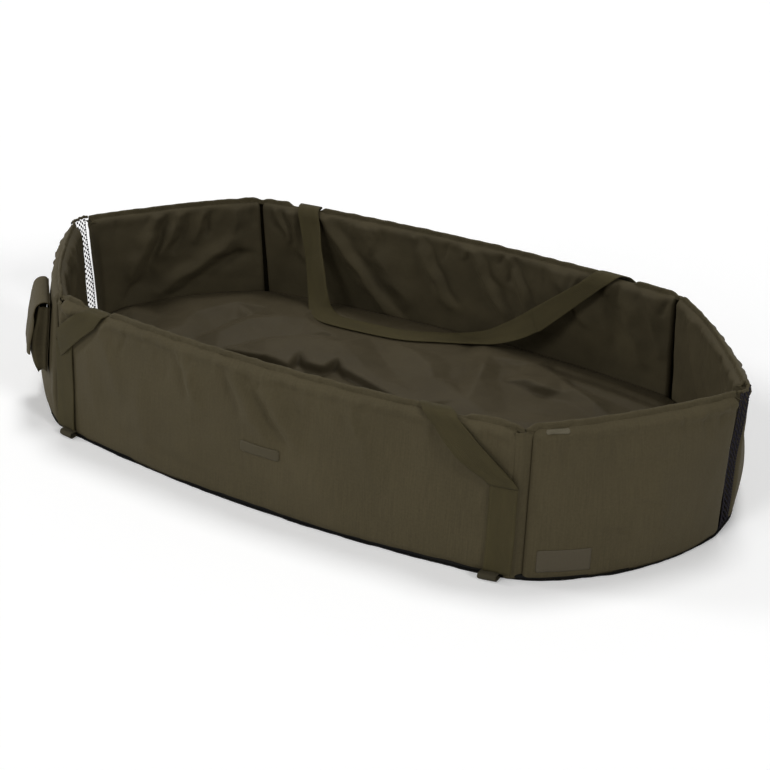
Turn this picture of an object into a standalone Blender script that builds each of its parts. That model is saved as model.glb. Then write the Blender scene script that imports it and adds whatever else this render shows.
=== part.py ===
"""Unhooking mat with padded walls: an oval fishing cradle of six foam panels round a padded floor.

Metres, +Z up. The origin is on the ground under the middle of the floor, +X runs along the
length towards the right end, and the near side, with the bare badge, faces -Y.
"""
import math

import bmesh
import bpy
from mathutils import Matrix, Vector

# Plan, measured on the outer faces of the walls
OVERALL_LENGTH = 1.160
FOLD_SPACING = 0.788
RIM_WIDTH = 0.5266
BASE_WIDTH = 0.5586
TIP_OPENING = 0.036
NEAR_RIM_BOW = 0.032
FAR_RIM_BOW = 0.025
SIDE_BASE_BOW = 0.036
END_RIM_BOW = 0.016
END_BASE_BOW = 0.037

# Padded walls
WALL_HEIGHT = 0.218
WALL_THICKNESS = 0.022
WALL_CROWN = 0.004
FABRIC_THICKNESS = 0.001
FOLD_SETBACK = 0.012
CORNER_WEB_THICKNESS = 0.0016
SEAT_GAP = 0.0003
HEM_DEPTH = 0.024
BINDING_OVERLAP = 0.012
RIM_SLOPE_HEIGHT = 0.009
RIM_SLOPE_DEPTH = 0.006
WALL_STATIONS = 6
WALL_LEVELS = 3
SIDE_PADDING_SHARE = 0.6
END_PADDING_SHARE = 1.0

# Drainage nets in the two tips
NET_THICKNESS = 0.001
NET_BAR = 0.0016
NET_RECESS = 0.003
NET_COLUMNS = 4
NET_ROWS = 16
NET_BINDING_DEPTH = 0.018

# Floor, from the ground up
GROUNDSHEET_THICKNESS = 0.0015
WELT_HEIGHT = 0.0045
FLOOR_FOAM_THICKNESS = 0.014
FLOOR_CLEARANCE = 0.004
MAT_THICKNESS = 0.028
MAT_CROWN = 0.010
MAT_EDGE_DROP = 0.010
MAT_SIDE_TUCK = 0.004
MAT_CHANNEL_DEPTH = 0.004
MAT_CLEARANCE = 0.009
COVER_THICKNESS = 0.0012
COVER_CLEARANCE = 0.0055
COVER_FOLD_HEIGHT = 0.013
COVER_FOLD_WIDTH = 0.040

# Carrying webbing
WEBBING_WIDTH = 0.038
WEBBING_THICKNESS = 0.002
STRIP_INSET = 0.020
STRIP_FOOT = 0.012
LEFT_SEWN_HEIGHT = 0.128
RIGHT_SEWN_HEIGHT = 0.139
LEFT_CROSSING = 0.297
RIGHT_CROSSING = 0.277
CROSSING_WIDTH = 0.048
SADDLE_DROP = 0.044
LEFT_SADDLE_LEAN = 0.38
RIGHT_SADDLE_LEAN = 1.1
HANDLE_START_GAP = 0.002
HANDLE_REACH = 0.081
HANDLE_REST_GAP = 0.0008

# Peg loops of narrow webbing
PEG_WEBBING_WIDTH = 0.025
PEG_WEBBING_THICKNESS = 0.0016
PEG_LOOP_LENGTH = 0.017
PEG_LOOP_INSET = 0.030
PEG_LOOP_HEIGHT = 0.0105
PEG_LOOP_LIFT = 0.0005
PEG_BEND_STEPS = 6

# Pocket on the near left end panel
POCKET_WIDTH = 0.100
POCKET_HEIGHT = 0.111
POCKET_DEPTH = 0.016
POCKET_FRONT_HEIGHT = 0.096
POCKET_BULGE = 0.004
POCKET_GRID = 4
POCKET_FOOT = 0.078
POCKET_FROM_FOLD = 0.042
POCKET_FABRIC = 0.0012
FLAP_THICKNESS = 0.0016
FLAP_OVERHANG = 0.003
FLAP_DROP = 0.084
FLAP_FLARE = 0.003
FLAP_CLEARANCE = 0.0015
PAD_WIDTH = 0.050
PAD_HEIGHT = 0.020
PAD_THICKNESS = 0.0014
PAD_FOOT_SHARE = 0.75

# Bare trim
BADGE_CENTRE = 0.008
BADGE_WIDTH = 0.065
BADGE_HEIGHT = 0.017
BADGE_FOOT = 0.082
BADGE_THICKNESS = 0.0018
BADGE_CORNER = 0.003
LABEL_START = 0.017
LABEL_WIDTH = 0.090
LABEL_FOOT = 0.012
LABEL_HEIGHT = 0.043
LABEL_THICKNESS = 0.0006
TAB_START = 0.024
TAB_WIDTH = 0.038
TAB_HEIGHT = 0.007
TAB_THICKNESS = 0.001

# Points tried each way where a flat plate rests on a wall
SEAT_CHECKS = 24

HALF_LENGTH = OVERALL_LENGTH / 2
FOLD_X = FOLD_SPACING / 2
WELT_FOOT = GROUNDSHEET_THICKNESS + SEAT_GAP
WALL_FOOT = WELT_FOOT + WELT_HEIGHT + SEAT_GAP
HEM_FOOT = WALL_HEIGHT - HEM_DEPTH
SKIN_TOP = HEM_FOOT + BINDING_OVERLAP
LAYER_STEP = FABRIC_THICKNESS + SEAT_GAP
MAT_FOOT = GROUNDSHEET_THICKNESS + SEAT_GAP + FLOOR_FOAM_THICKNESS + SEAT_GAP
MAT_TOP = MAT_FOOT + MAT_THICKNESS

# How far out, as shares of the half length and half width, the rows of the floor pieces lie
LENGTH_ROW_SHARES = (0, 0.11, 0.23, 0.34, 0.46, 0.57, 0.68, 0.78, 0.84, 0.90, 0.96, 1)
WIDTH_ROW_SHARES = (0, 0.25, 0.50, 0.74, 0.80, 0.86, 0.95, 1)
MAT_CHANNEL_LENGTH_SHARE = 0.84
MAT_CHANNEL_WIDTH_SHARE = 0.80

# Folds of the loose cover: start and end in the plan, and height, as shares
COVER_FOLD_SHARES = (
    ((-0.18, 0.45), (0.06, -0.10), 1.00),
    ((0.22, 0.62), (0.28, 0.26), 0.85),
    ((-0.78, 0.06), (-0.44, 0.40), 0.80),
    ((-0.62, 0.58), (-0.24, 0.52), 0.60),
    ((0.34, 0.16), (0.72, 0.34), 0.75),
    ((-0.10, -0.08), (0.44, -0.42), 0.85),
    ((-0.70, -0.34), (-0.26, -0.46), 0.70),
)

# Route of a carrying loop between its two rim crossings, hand placed as shares:
# along half the crossing spacing, inwards along the reach, up from the floor to the hinge line,
# and how far the flat of the webbing has turned from facing the wall to facing up
HANDLE_ROUTE_SHARES = (
    (-0.900, 0.38, 0.62, 0.00),
    (-0.850, 0.55, 0.42, 0.10),
    (-0.800, 0.74, 0.20, 0.35),
    (-0.740, 0.92, 0.05, 0.75),
    (-0.620, 1.00, 0.00, 1.00),
    (-0.400, 0.96, 0.00, 1.00),
    (-0.170, 0.84, 0.00, 1.00),
    (0.024, 0.52, 0.00, 1.00),
    (0.200, 0.27, 0.03, 0.90),
    (0.340, 0.24, 0.13, 0.65),
    (0.477, 0.24, 0.28, 0.40),
    (0.600, 0.26, 0.46, 0.20),
)
HANDLE_STEPS = 2


class Panel:
    """One wall panel between two corners, bowed outwards, with its outside on the right."""

    def __init__(self, name, start, finish, rim_bow, base_bow, tip_start=False, tip_finish=False):
        self.name = name
        self.padding_share = END_PADDING_SHARE if tip_start or tip_finish else SIDE_PADDING_SHARE
        self.start = start
        self.finish = finish
        self.rim_bow = rim_bow
        self.base_bow = base_bow
        self.tip_start = tip_start
        self.tip_finish = tip_finish
        length = (corner_at(finish, 1) - corner_at(start, 1)).length
        first = 0 if tip_start else FOLD_SETBACK / length
        last = 1 if tip_finish else 1 - FOLD_SETBACK / length
        spans = WALL_STATIONS - 1
        self.shares = [first + (last - first) * k / spans for k in range(WALL_STATIONS)]

    def plan(self, share, height):
        """Point on the outer face and the outward direction there, both in plan."""
        rise = height / WALL_HEIGHT
        base, base_out = bowed(corner_at(self.start, 0), corner_at(self.finish, 0), self.base_bow, share)
        rim, rim_out = bowed(corner_at(self.start, 1), corner_at(self.finish, 1), self.rim_bow, share)
        return base.lerp(rim, rise), base_out.lerp(rim_out, rise).normalized()

    def inward(self, station, out):
        """Direction through the wall, cut square to the length at a tip."""
        at_tip = (station == 0 and self.tip_start) or (station == WALL_STATIONS - 1 and self.tip_finish)
        return Vector((-1 / out.x, 0)) if at_tip else -out

    def crown(self, station, height):
        """Swell of the padding at a station, none past its share, at the foot and at the hem."""
        up = min(1, max(0, (height - WALL_FOOT) / (HEM_FOOT - WALL_FOOT)))
        across = min(1, abs(2 * station / (WALL_STATIONS - 1) - 1) / self.padding_share)
        return WALL_CROWN * 4 * up * (1 - up) * (1 - across ** 4)

    def place(self, station, height, depth, swell=0):
        """Point at a depth behind the outer face, moved by swell times the crown."""
        point, out = self.plan(self.shares[station], height)
        way = self.inward(station, out)
        point = point + way * (depth + swell * self.crown(station, height))
        return Vector((point.x, point.y, height))


def corner_at(corner, rise):
    """Plan position of a corner given as x, y at the base and y at the rim."""
    x, base_y, rim_y = corner
    return Vector((x, base_y + (rim_y - base_y) * rise))


def bowed(start, finish, bow, share):
    """Point and outward direction at a share of the arc that bows out between two points."""
    chord = finish - start
    along = chord.normalized()
    out = Vector((along.y, -along.x))
    radius = (chord.length ** 2 / 4 + bow ** 2) / (2 * bow)
    turn = (2 * share - 1) * math.asin(chord.length / (2 * radius))
    direction = out * math.cos(turn) + along * math.sin(turn)
    centre = (start + finish) / 2 - out * (radius - bow)
    return centre + direction * radius, direction


def make_panels():
    """The six panels, anticlockwise from the near side."""
    half_tip = TIP_OPENING / 2
    folds = {(end, side): (end * FOLD_X, side * BASE_WIDTH / 2, side * RIM_WIDTH / 2)
             for end in (-1, 1) for side in (-1, 1)}
    tips = {(end, side): (end * HALF_LENGTH, side * half_tip, side * half_tip)
            for end in (-1, 1) for side in (-1, 1)}
    return (
        Panel("near_side", folds[-1, -1], folds[1, -1], NEAR_RIM_BOW, SIDE_BASE_BOW),
        Panel("near_right_end", folds[1, -1], tips[1, -1], END_RIM_BOW, END_BASE_BOW, tip_finish=True),
        Panel("far_right_end", tips[1, 1], folds[1, 1], END_RIM_BOW, END_BASE_BOW, tip_start=True),
        Panel("far_side", folds[1, 1], folds[-1, 1], FAR_RIM_BOW, SIDE_BASE_BOW),
        Panel("far_left_end", folds[-1, 1], tips[-1, 1], END_RIM_BOW, END_BASE_BOW, tip_finish=True),
        Panel("near_left_end", tips[-1, -1], folds[-1, -1], END_RIM_BOW, END_BASE_BOW, tip_start=True),
    )


PANELS = make_panels()
PANEL = {panel.name: panel for panel in PANELS}


def clear_scene():
    for old in list(bpy.data.objects):
        bpy.data.objects.remove(old, do_unlink=True)


def finish_material(name, colour, roughness):
    """Matt fabric, foam or plastic finish."""
    material = bpy.data.materials.new(name)
    material.use_nodes = True
    shader = material.node_tree.nodes["Principled BSDF"]
    shader.inputs["Base Color"].default_value = (*colour, 1)
    shader.inputs["Roughness"].default_value = roughness
    shader.inputs["Metallic"].default_value = 0
    return material


def add_object(name, points, faces, material, smooth=False):
    """Object of one closed mesh with its faces turned outwards."""
    shape = bmesh.new()
    corners = [shape.verts.new(point) for point in points]
    for face in faces:
        shape.faces.new([corners[index] for index in face])
    bmesh.ops.recalc_face_normals(shape, faces=shape.faces)
    mesh = bpy.data.meshes.new(name)
    shape.to_mesh(mesh)
    shape.free()
    mesh.materials.append(material)
    if smooth:
        mesh.shade_smooth()
    piece = bpy.data.objects.new(name, mesh)
    bpy.context.collection.objects.link(piece)
    return piece


def ring_faces(first, second):
    """Faces that join two rings of point numbers, with triangles where two points coincide."""
    faces = []
    for k, a in enumerate(first):
        b = first[(k + 1) % len(first)]
        c = second[(k + 1) % len(second)]
        d = second[k]
        corners = list(dict.fromkeys((a, b, c, d)))
        if len(corners) > 2:
            faces.append(corners)
    return faces


def ribbon_faces(rows):
    """Faces of a flat strip of rows of four points, with both broad sides cut on the same diagonal."""
    faces = []
    for k in range(rows - 1):
        a, b, c, d = range(4 * k, 4 * k + 4)
        e, f, g, h = range(4 * k + 4, 4 * k + 8)
        faces += [(a, b, f), (a, f, e), (d, g, c), (d, h, g), (b, c, g), (b, g, f), (a, h, d), (a, e, h)]
    last = 4 * rows - 4
    faces.append((0, 1, 2, 3))
    faces.append((last, last + 1, last + 2, last + 3))
    return faces


def section_faces(stations, section):
    """Side faces of a swept section, cut on one diagonal so that stacked layers match."""
    count = len(section)
    faces = []
    for i in range(stations - 1):
        for k in range(count):
            nxt = (k + 1) % count
            a = i * count + k
            b = (i + 1) * count + k
            c = (i + 1) * count + nxt
            d = i * count + nxt
            if section[nxt][0] >= section[k][0]:
                faces += [(a, b, c), (a, c, d)]
            else:
                faces += [(a, b, d), (b, c, d)]
    return faces


def add_wall_piece(name, panel, section, material):
    """Layer of a wall, swept along its panel from a section of (height, depth, swell)."""
    points = [panel.place(station, height, depth, swell)
              for station in range(WALL_STATIONS) for height, depth, swell in section]
    count = len(section)
    faces = section_faces(WALL_STATIONS, section)
    faces.append(tuple(range(count)))
    faces.append(tuple((WALL_STATIONS - 1) * count + k for k in range(count)))
    return add_object(name, points, faces, material)


def crown_heights():
    """Heights at which the padding is shaped, from the foot to the hem."""
    return [WALL_FOOT + (HEM_FOOT - WALL_FOOT) * k / WALL_LEVELS for k in range(WALL_LEVELS + 1)]


def sheet_section(near_depth, far_depth, swell):
    heights = crown_heights() + [SKIN_TOP]
    rising = [(height, near_depth, swell) for height in heights]
    falling = [(height, far_depth, swell) for height in reversed(heights)]
    return rising + falling


def foam_section():
    """Foam board with a sloped rim that the binding wraps."""
    inner = WALL_THICKNESS - LAYER_STEP
    shoulder = WALL_HEIGHT - FABRIC_THICKNESS - SEAT_GAP - RIM_SLOPE_HEIGHT
    crest = WALL_HEIGHT - FABRIC_THICKNESS - SEAT_GAP
    heights = crown_heights()
    outer = [(height, LAYER_STEP, -1) for height in heights] + [(shoulder, LAYER_STEP, -1)]
    top = [(crest, RIM_SLOPE_DEPTH, 0), (crest, WALL_THICKNESS - RIM_SLOPE_DEPTH, 0)]
    back = [(shoulder, inner, 1)] + [(height, inner, 1) for height in reversed(heights)]
    return outer + top + back


def binding_section():
    """Tape folded over the rim, a fabric thickness of it all round."""
    shoulder = WALL_HEIGHT - RIM_SLOPE_HEIGHT
    inner_shoulder = shoulder - FABRIC_THICKNESS / 2
    outside = LAYER_STEP
    slope = RIM_SLOPE_DEPTH - LAYER_STEP
    return [
        (HEM_FOOT, -outside, 0),
        (shoulder, -outside, 0),
        (WALL_HEIGHT, slope, 0),
        (WALL_HEIGHT, WALL_THICKNESS - slope, 0),
        (shoulder, WALL_THICKNESS + outside, 0),
        (HEM_FOOT, WALL_THICKNESS + outside, 0),
        (HEM_FOOT, WALL_THICKNESS + SEAT_GAP, 0),
        (inner_shoulder, WALL_THICKNESS + SEAT_GAP, 0),
        (WALL_HEIGHT - FABRIC_THICKNESS, WALL_THICKNESS - slope - FABRIC_THICKNESS / 2, 0),
        (WALL_HEIGHT - FABRIC_THICKNESS, slope + FABRIC_THICKNESS / 2, 0),
        (inner_shoulder, -SEAT_GAP, 0),
        (HEM_FOOT, -SEAT_GAP, 0),
    ]


def add_walls(finishes):
    for panel in PANELS:
        back = WALL_THICKNESS - FABRIC_THICKNESS
        add_wall_piece(panel.name + "_skin", panel, sheet_section(0, FABRIC_THICKNESS, -1),
                       finishes["outer_nylon"])
        add_wall_piece(panel.name + "_foam", panel, foam_section(), finishes["wall_foam"])
        add_wall_piece(panel.name + "_lining", panel, sheet_section(back, WALL_THICKNESS, 1),
                       finishes["lining_nylon"])
        add_wall_piece(panel.name + "_rim_binding", panel, binding_section(), finishes["binding_tape"])


def add_corner_webs(finishes):
    """Flat unpadded webs that join the panels at the four fold lines."""
    for panel, follower in ((PANELS[0], PANELS[1]), (PANELS[2], PANELS[3]),
                            (PANELS[3], PANELS[4]), (PANELS[5], PANELS[0])):
        points = []
        for height in (WALL_FOOT, SKIN_TOP):
            corner = corner_at(panel.finish, height / WALL_HEIGHT).to_3d()
            corner.z = height
            ways = []
            ends = []
            for side, station in ((panel, WALL_STATIONS - 1), (follower, 0)):
                end = side.place(station, height, 0)
                ends.append(end + (corner - end).normalized() * SEAT_GAP)
                ways.append(side.place(station, height, CORNER_WEB_THICKNESS) - end)
            middle = (ways[0] + ways[1]).normalized()
            middle *= CORNER_WEB_THICKNESS ** 2 / middle.dot(ways[0])
            for place, way in ((ends[0], ways[0]), (corner, middle), (ends[1], ways[1])):
                points += [place, place + way]
        faces = [(0, 2, 3, 1), (2, 4, 5, 3), (6, 7, 9, 8), (8, 9, 11, 10), (0, 1, 7, 6), (4, 10, 11, 5),
                 (0, 6, 8, 2), (2, 8, 10, 4), (1, 3, 9, 7), (3, 5, 11, 9)]
        name = panel.name if "end" in panel.name else follower.name
        add_object(name + "_corner_web", points, faces, finishes["outer_nylon"])


def wall_outline(height, with_folds=False):
    """Outer face of the walls in plan, with the fold points or cut straight across them."""
    points = []
    for panel in PANELS:
        for station in range(WALL_STATIONS):
            points.append(panel.place(station, height, 0).to_2d())
        if with_folds and not panel.tip_finish:
            points.append(corner_at(panel.finish, height / WALL_HEIGHT))
    return points


def inset_outline(points, distance):
    """Outline moved inwards by a distance, side by side."""
    moved = []
    for k, point in enumerate(points):
        before = (point - points[k - 1]).normalized()
        after = (points[(k + 1) % len(points)] - point).normalized()
        inwards = (Vector((-before.y, before.x)) + Vector((-after.y, after.x))).normalized()
        moved.append(point + inwards * (distance / inwards.dot(Vector((-after.y, after.x)))))
    return moved


def add_slab(name, outline, foot, thickness, material):
    """Flat plate of an outline."""
    count = len(outline)
    points = [Vector((point.x, point.y, height)) for height in (foot, foot + thickness) for point in outline]
    faces = ring_faces(range(count), range(count, 2 * count))
    faces.append(tuple(range(count)))
    faces.append(tuple(range(count, 2 * count)))
    return add_object(name, points, faces, material)


def add_base(finishes):
    """Groundsheet, the bound welt that joins it to the walls, and the floor foam."""
    outline = wall_outline(0, with_folds=True)
    add_slab("groundsheet", outline, 0, GROUNDSHEET_THICKNESS, finishes["black_base"])
    inner = inset_outline(wall_outline(0), WALL_THICKNESS)
    partners = []
    count = 0
    for panel in PANELS:
        partners += list(range(count, count + WALL_STATIONS))
        count += WALL_STATIONS
        if not panel.tip_finish:
            partners.append(count - 1)
    points = []
    rings = []
    for height in (WELT_FOOT, WELT_FOOT + WELT_HEIGHT):
        rings.append(range(len(points), len(points) + len(outline)))
        points += [Vector((point.x, point.y, height)) for point in outline]
        rings.append([len(points) + partner for partner in partners])
        points += [Vector((point.x, point.y, height)) for point in inner]
    faces = ring_faces(rings[0], rings[2]) + ring_faces(rings[2], rings[3])
    faces += ring_faces(rings[3], rings[1]) + ring_faces(rings[1], rings[0])
    add_object("base_welt", points, faces, finishes["black_base"])
    floor_top = MAT_FOOT - SEAT_GAP
    floor = inset_outline(wall_outline(floor_top), WALL_THICKNESS + FLOOR_CLEARANCE)
    add_slab("floor_foam", floor, WELT_FOOT, FLOOR_FOAM_THICKNESS, finishes["floor_foam"])


def mirrored(shares):
    return [-share for share in reversed(shares[1:])] + list(shares)


def interpolate(value, pairs):
    """Second member of sorted pairs at a value of the first."""
    for (low, a), (high, b) in zip(pairs, pairs[1:]):
        if value <= high:
            return a + (b - a) * (value - low) / (high - low)
    return pairs[-1][1]


def floor_rows(clearance, height):
    """Plan points of the floor pieces, as columns along the length of rows across the width."""
    outline = inset_outline(wall_outline(height), WALL_THICKNESS + clearance)
    near = sorted({(point.x, point.y) for point in outline if point.y < 0})
    far = sorted({(point.x, point.y) for point in outline if point.y > 0})
    reach = min(near[-1][0], far[-1][0])
    columns = []
    for along in mirrored(LENGTH_ROW_SHARES):
        low = interpolate(along * reach, near)
        high = interpolate(along * reach, far)
        middle = (low + high) / 2
        columns.append([Vector((along * reach, middle + across * (high - low) / 2))
                        for across in mirrored(WIDTH_ROW_SHARES)])
    return columns


def mat_height(along, across):
    """Top of the inner mat: crowned, with a sewn channel inside its border and soft edges."""
    height = MAT_TOP + MAT_CROWN * (1 - along ** 4) * (1 - across ** 4)
    out = (abs(along) / MAT_CHANNEL_LENGTH_SHARE, abs(across) / MAT_CHANNEL_WIDTH_SHARE)
    if max(out) == 1:
        height -= MAT_CHANNEL_DEPTH
    if 1 in (abs(along), abs(across)):
        height -= MAT_EDGE_DROP
    return height


def cover_fold(point):
    """Lift of the loose cover above the mat, from its hand-placed folds."""
    lift = 0
    for start, finish, share in COVER_FOLD_SHARES:
        first = Vector((start[0] * FOLD_X, start[1] * RIM_WIDTH / 2))
        last = Vector((finish[0] * FOLD_X, finish[1] * RIM_WIDTH / 2))
        run = last - first
        on_run = min(1, max(0, (point - first).dot(run) / run.length_squared))
        away = (point - first - run * on_run).length / COVER_FOLD_WIDTH
        lift = max(lift, share * COVER_FOLD_HEIGHT * math.exp(-away ** 2))
    return lift


def cover_height(along, across, point):
    """Underside of the cover, clear of the mat's channels and edges."""
    crowned = MAT_TOP + MAT_CROWN * (1 - along ** 4) * (1 - across ** 4)
    fade = (1 - along ** 8) * (1 - across ** 8)
    return crowned + SEAT_GAP + cover_fold(point) * fade


def grid_faces(columns, rows, start, flipped):
    """Faces of a grid of points, all cut on one diagonal."""
    faces = []
    for i in range(columns - 1):
        for j in range(rows - 1):
            a = start + i * rows + j
            b, c, d = a + rows, a + rows + 1, a + 1
            pair = [(a, b, c), (a, c, d)]
            faces += [face[::-1] for face in pair] if flipped else pair
    return faces


def border(columns, rows, start):
    """Point numbers round the edge of a grid."""
    ring = [start + i * rows for i in range(columns)]
    ring += [start + (columns - 1) * rows + j for j in range(1, rows)]
    ring += [start + i * rows + rows - 1 for i in range(columns - 2, -1, -1)]
    ring += [start + j for j in range(rows - 2, 0, -1)]
    return ring


def add_mat(finishes):
    """Padded inner mat with drawn-in sides."""
    plan = floor_rows(MAT_CLEARANCE, MAT_TOP)
    tucked = floor_rows(MAT_CLEARANCE + MAT_SIDE_TUCK, MAT_TOP)
    lengths = mirrored(LENGTH_ROW_SHARES)
    widths = mirrored(WIDTH_ROW_SHARES)
    columns, rows = len(lengths), len(widths)
    size = columns * rows
    edge = set(border(columns, rows, 0))
    points = []
    for i, along in enumerate(lengths):
        for j, across in enumerate(widths):
            spot = tucked[i][j] if i * rows + j in edge else plan[i][j]
            points.append(Vector((spot.x, spot.y, mat_height(along, across))))
    for i in range(columns):
        for j in range(rows):
            spot = tucked[i][j] if i * rows + j in edge else plan[i][j]
            points.append(Vector((spot.x, spot.y, MAT_FOOT)))
    waist = []
    for index in border(columns, rows, 0):
        spot = plan[index // rows][index % rows]
        waist.append(len(points))
        points.append(Vector((spot.x, spot.y, MAT_FOOT + MAT_THICKNESS / 3)))
    faces = grid_faces(columns, rows, 0, False) + grid_faces(columns, rows, size, True)
    faces += ring_faces(border(columns, rows, 0), waist)
    faces += ring_faces(waist, border(columns, rows, size))
    add_object("inner_mat", points, faces, finishes["mat_fabric"], smooth=True)


def add_cover(finishes):
    """Loose coated cover laid on the mat, with its main folds."""
    columns, rows = len(mirrored(LENGTH_ROW_SHARES)), len(mirrored(WIDTH_ROW_SHARES))
    size = columns * rows
    points = cover_points(COVER_THICKNESS) + cover_points(0)
    faces = grid_faces(columns, rows, 0, False) + grid_faces(columns, rows, size, True)
    faces += ring_faces(border(columns, rows, 0), border(columns, rows, size))
    add_object("floor_cover", points, faces, finishes["cover_fabric"], smooth=True)


def add_net(name, end, finishes):
    """Flat drainage net between the two half panels of one tip."""
    width = TIP_OPENING - 2 * SEAT_GAP
    foot = WALL_FOOT
    height = WALL_HEIGHT - NET_THICKNESS - FABRIC_THICKNESS - SEAT_GAP - foot
    across = bar_edges(-width / 2, width, NET_COLUMNS)
    upward = bar_edges(foot, height, NET_ROWS)
    outer = end * (HALF_LENGTH - NET_RECESS)
    inner = end * (HALF_LENGTH - NET_RECESS - NET_THICKNESS)
    rows = len(upward)
    size = len(across) * rows
    points = [Vector((x, y, z)) for x in (outer, inner) for y in across for z in upward]
    faces = []
    solid = {(i, j) for i in range(len(across) - 1) for j in range(rows - 1) if i % 2 == 0 or j % 2 == 0}
    for i, j in solid:
        a = i * rows + j
        b, c, d = a + rows, a + rows + 1, a + 1
        faces += [(a, b, c, d), (a + size, d + size, c + size, b + size)]
        for neighbour, first, second in (((i, j - 1), a, b), ((i + 1, j), b, c),
                                         ((i, j + 1), c, d), ((i - 1, j), d, a)):
            if neighbour not in solid:
                faces.append((first, first + size, second + size, second))
    add_object(name, points, faces, finishes["net"])


def bar_edges(start, length, gaps):
    """Edges of the bars that leave a number of equal gaps in a length."""
    pitch = (length - NET_BAR) / gaps
    return [start + k * pitch + edge for k in range(gaps + 1) for edge in (0, NET_BAR)]


def add_net_binding(name, end, finishes):
    """Folded tape over the top edge of a net."""
    half = TIP_OPENING / 2 - SEAT_GAP
    middle = HALF_LENGTH - NET_RECESS - NET_THICKNESS / 2
    hollow = NET_THICKNESS / 2 + SEAT_GAP
    wall = hollow + FABRIC_THICKNESS
    crest = WALL_HEIGHT - FABRIC_THICKNESS
    foot = crest - NET_BINDING_DEPTH
    ceiling = crest - FABRIC_THICKNESS
    section = [(-wall, foot), (-wall, crest), (wall, crest), (wall, foot),
               (hollow, foot), (hollow, ceiling), (-hollow, ceiling), (-hollow, foot)]
    count = len(section)
    points = [Vector((end * (middle + x), y, z)) for y in (-half, half) for x, z in section]
    faces = ring_faces(range(count), range(count, 2 * count))
    faces.append(tuple(range(count)))
    faces.append(tuple(range(count, 2 * count)))
    add_object(name, points, faces, finishes["binding_tape"])


def wall_levels():
    return crown_heights() + [WALL_HEIGHT]


def cell_of(value, marks):
    """Number of the stretch between sorted marks that holds a value, and the share along it."""
    k = 0
    while k < len(marks) - 2 and value > marks[k + 1]:
        k += 1
    return k, (value - marks[k]) / (marks[k + 1] - marks[k])


def facet_corners(panel, station, level, s, h, depth, swell):
    """Three corners of the wall facet that holds a share along and up a cell."""
    levels = wall_levels()
    third = (1, 0) if s >= h else (0, 1)
    return [panel.place(station + a, levels[level + b], depth, swell) for a, b in ((0, 0), (1, 1), third)]


def facet_y(panel, x, height, depth, swell=0):
    """Y of the faceted side wall at an x and a height."""
    way = math.copysign(1, panel.finish[0] - panel.start[0])
    marks = [way * panel.place(k, height, depth, swell).x for k in range(WALL_STATIONS)]
    station, s = cell_of(way * x, marks)
    level, h = cell_of(height, wall_levels())
    first, second, third = facet_corners(panel, station, level, s, h, depth, swell)
    normal = (second - first).cross(third - first)
    return first.y - (normal.x * (x - first.x) + normal.z * (height - first.z)) / normal.y


def strap_rows(sewn_height, strip_x, crossing, saddle_lean):
    """Rows of a fixed strap: height, depth, middle and half width, up the wall and over the rim."""
    half = WEBBING_WIDTH / 2
    wide = CROSSING_WIDTH / 2
    over = LAYER_STEP + SEAT_GAP
    shoulder = WALL_HEIGHT - RIM_SLOPE_HEIGHT
    slope = RIM_SLOPE_DEPTH - LAYER_STEP
    heights = [STRIP_FOOT] + [height for height in crown_heights()[1:-1] if height < sewn_height]
    rows = [(height, -SEAT_GAP, strip_x, half) for height in heights + [sewn_height]]
    lean = (crossing - strip_x) / (WALL_HEIGHT - sewn_height)
    for height in (HEM_FOOT - SEAT_GAP, shoulder):
        rows.append((height, -over, strip_x + lean * (height - sewn_height), wide))
    rows.append((WALL_HEIGHT + SEAT_GAP, slope, crossing, wide))
    lean = -math.copysign(saddle_lean, crossing)
    past = crossing + lean * (WALL_THICKNESS - 2 * slope)
    rows.append((WALL_HEIGHT + SEAT_GAP, WALL_THICKNESS - slope, past, wide))
    for drop in (RIM_SLOPE_HEIGHT, HEM_DEPTH, SADDLE_DROP):
        rows.append((WALL_HEIGHT - drop, WALL_THICKNESS + over, past + lean * drop, wide))
    return rows


def strap_push(rows, index):
    """Outward push of one row's outer face, square to the wrap line on both sides of it."""
    height, depth = rows[index][0], rows[index][1]
    before = rows[max(0, index - 1)]
    after = rows[min(len(rows) - 1, index + 1)]
    ways = []
    for one, two in ((before, rows[index]), (rows[index], after)):
        run = Vector((two[1] - one[1], two[0] - one[0]))
        if run.length > 0:
            run.normalize()
            ways.append(Vector((-run.y, run.x)))
    middle = sum(ways, Vector((0, 0))).normalized()
    push = middle * (WEBBING_THICKNESS / middle.dot(ways[0]))
    return height + push.y, depth + push.x


def add_strap(name, panel, rows, finishes):
    """Fixed webbing: sewn strip, slanting stretch and saddle over the rim."""
    points = []
    for index, (height, depth, middle, half) in enumerate(rows):
        outer_height, outer_depth = strap_push(rows, index)
        for x in (middle - half, middle + half):
            points.append(Vector((x, facet_y(panel, x, height, depth), height)))
        for x in (middle + half, middle - half):
            points.append(Vector((x, facet_y(panel, x, height, outer_depth), outer_height)))
    add_object(name, points, ribbon_faces(len(rows)), finishes["webbing"])


def add_straps(finishes):
    strip_x = FOLD_X - STRIP_INSET
    for side in ("near", "far"):
        panel = PANEL[side + "_side"]
        left = strap_rows(LEFT_SEWN_HEIGHT, -strip_x, -LEFT_CROSSING, LEFT_SADDLE_LEAN)
        right = strap_rows(RIGHT_SEWN_HEIGHT, strip_x, RIGHT_CROSSING, RIGHT_SADDLE_LEAN)
        add_strap(side + "_left_strap", panel, left, finishes)
        add_strap(side + "_right_strap", panel, right, finishes)


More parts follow.
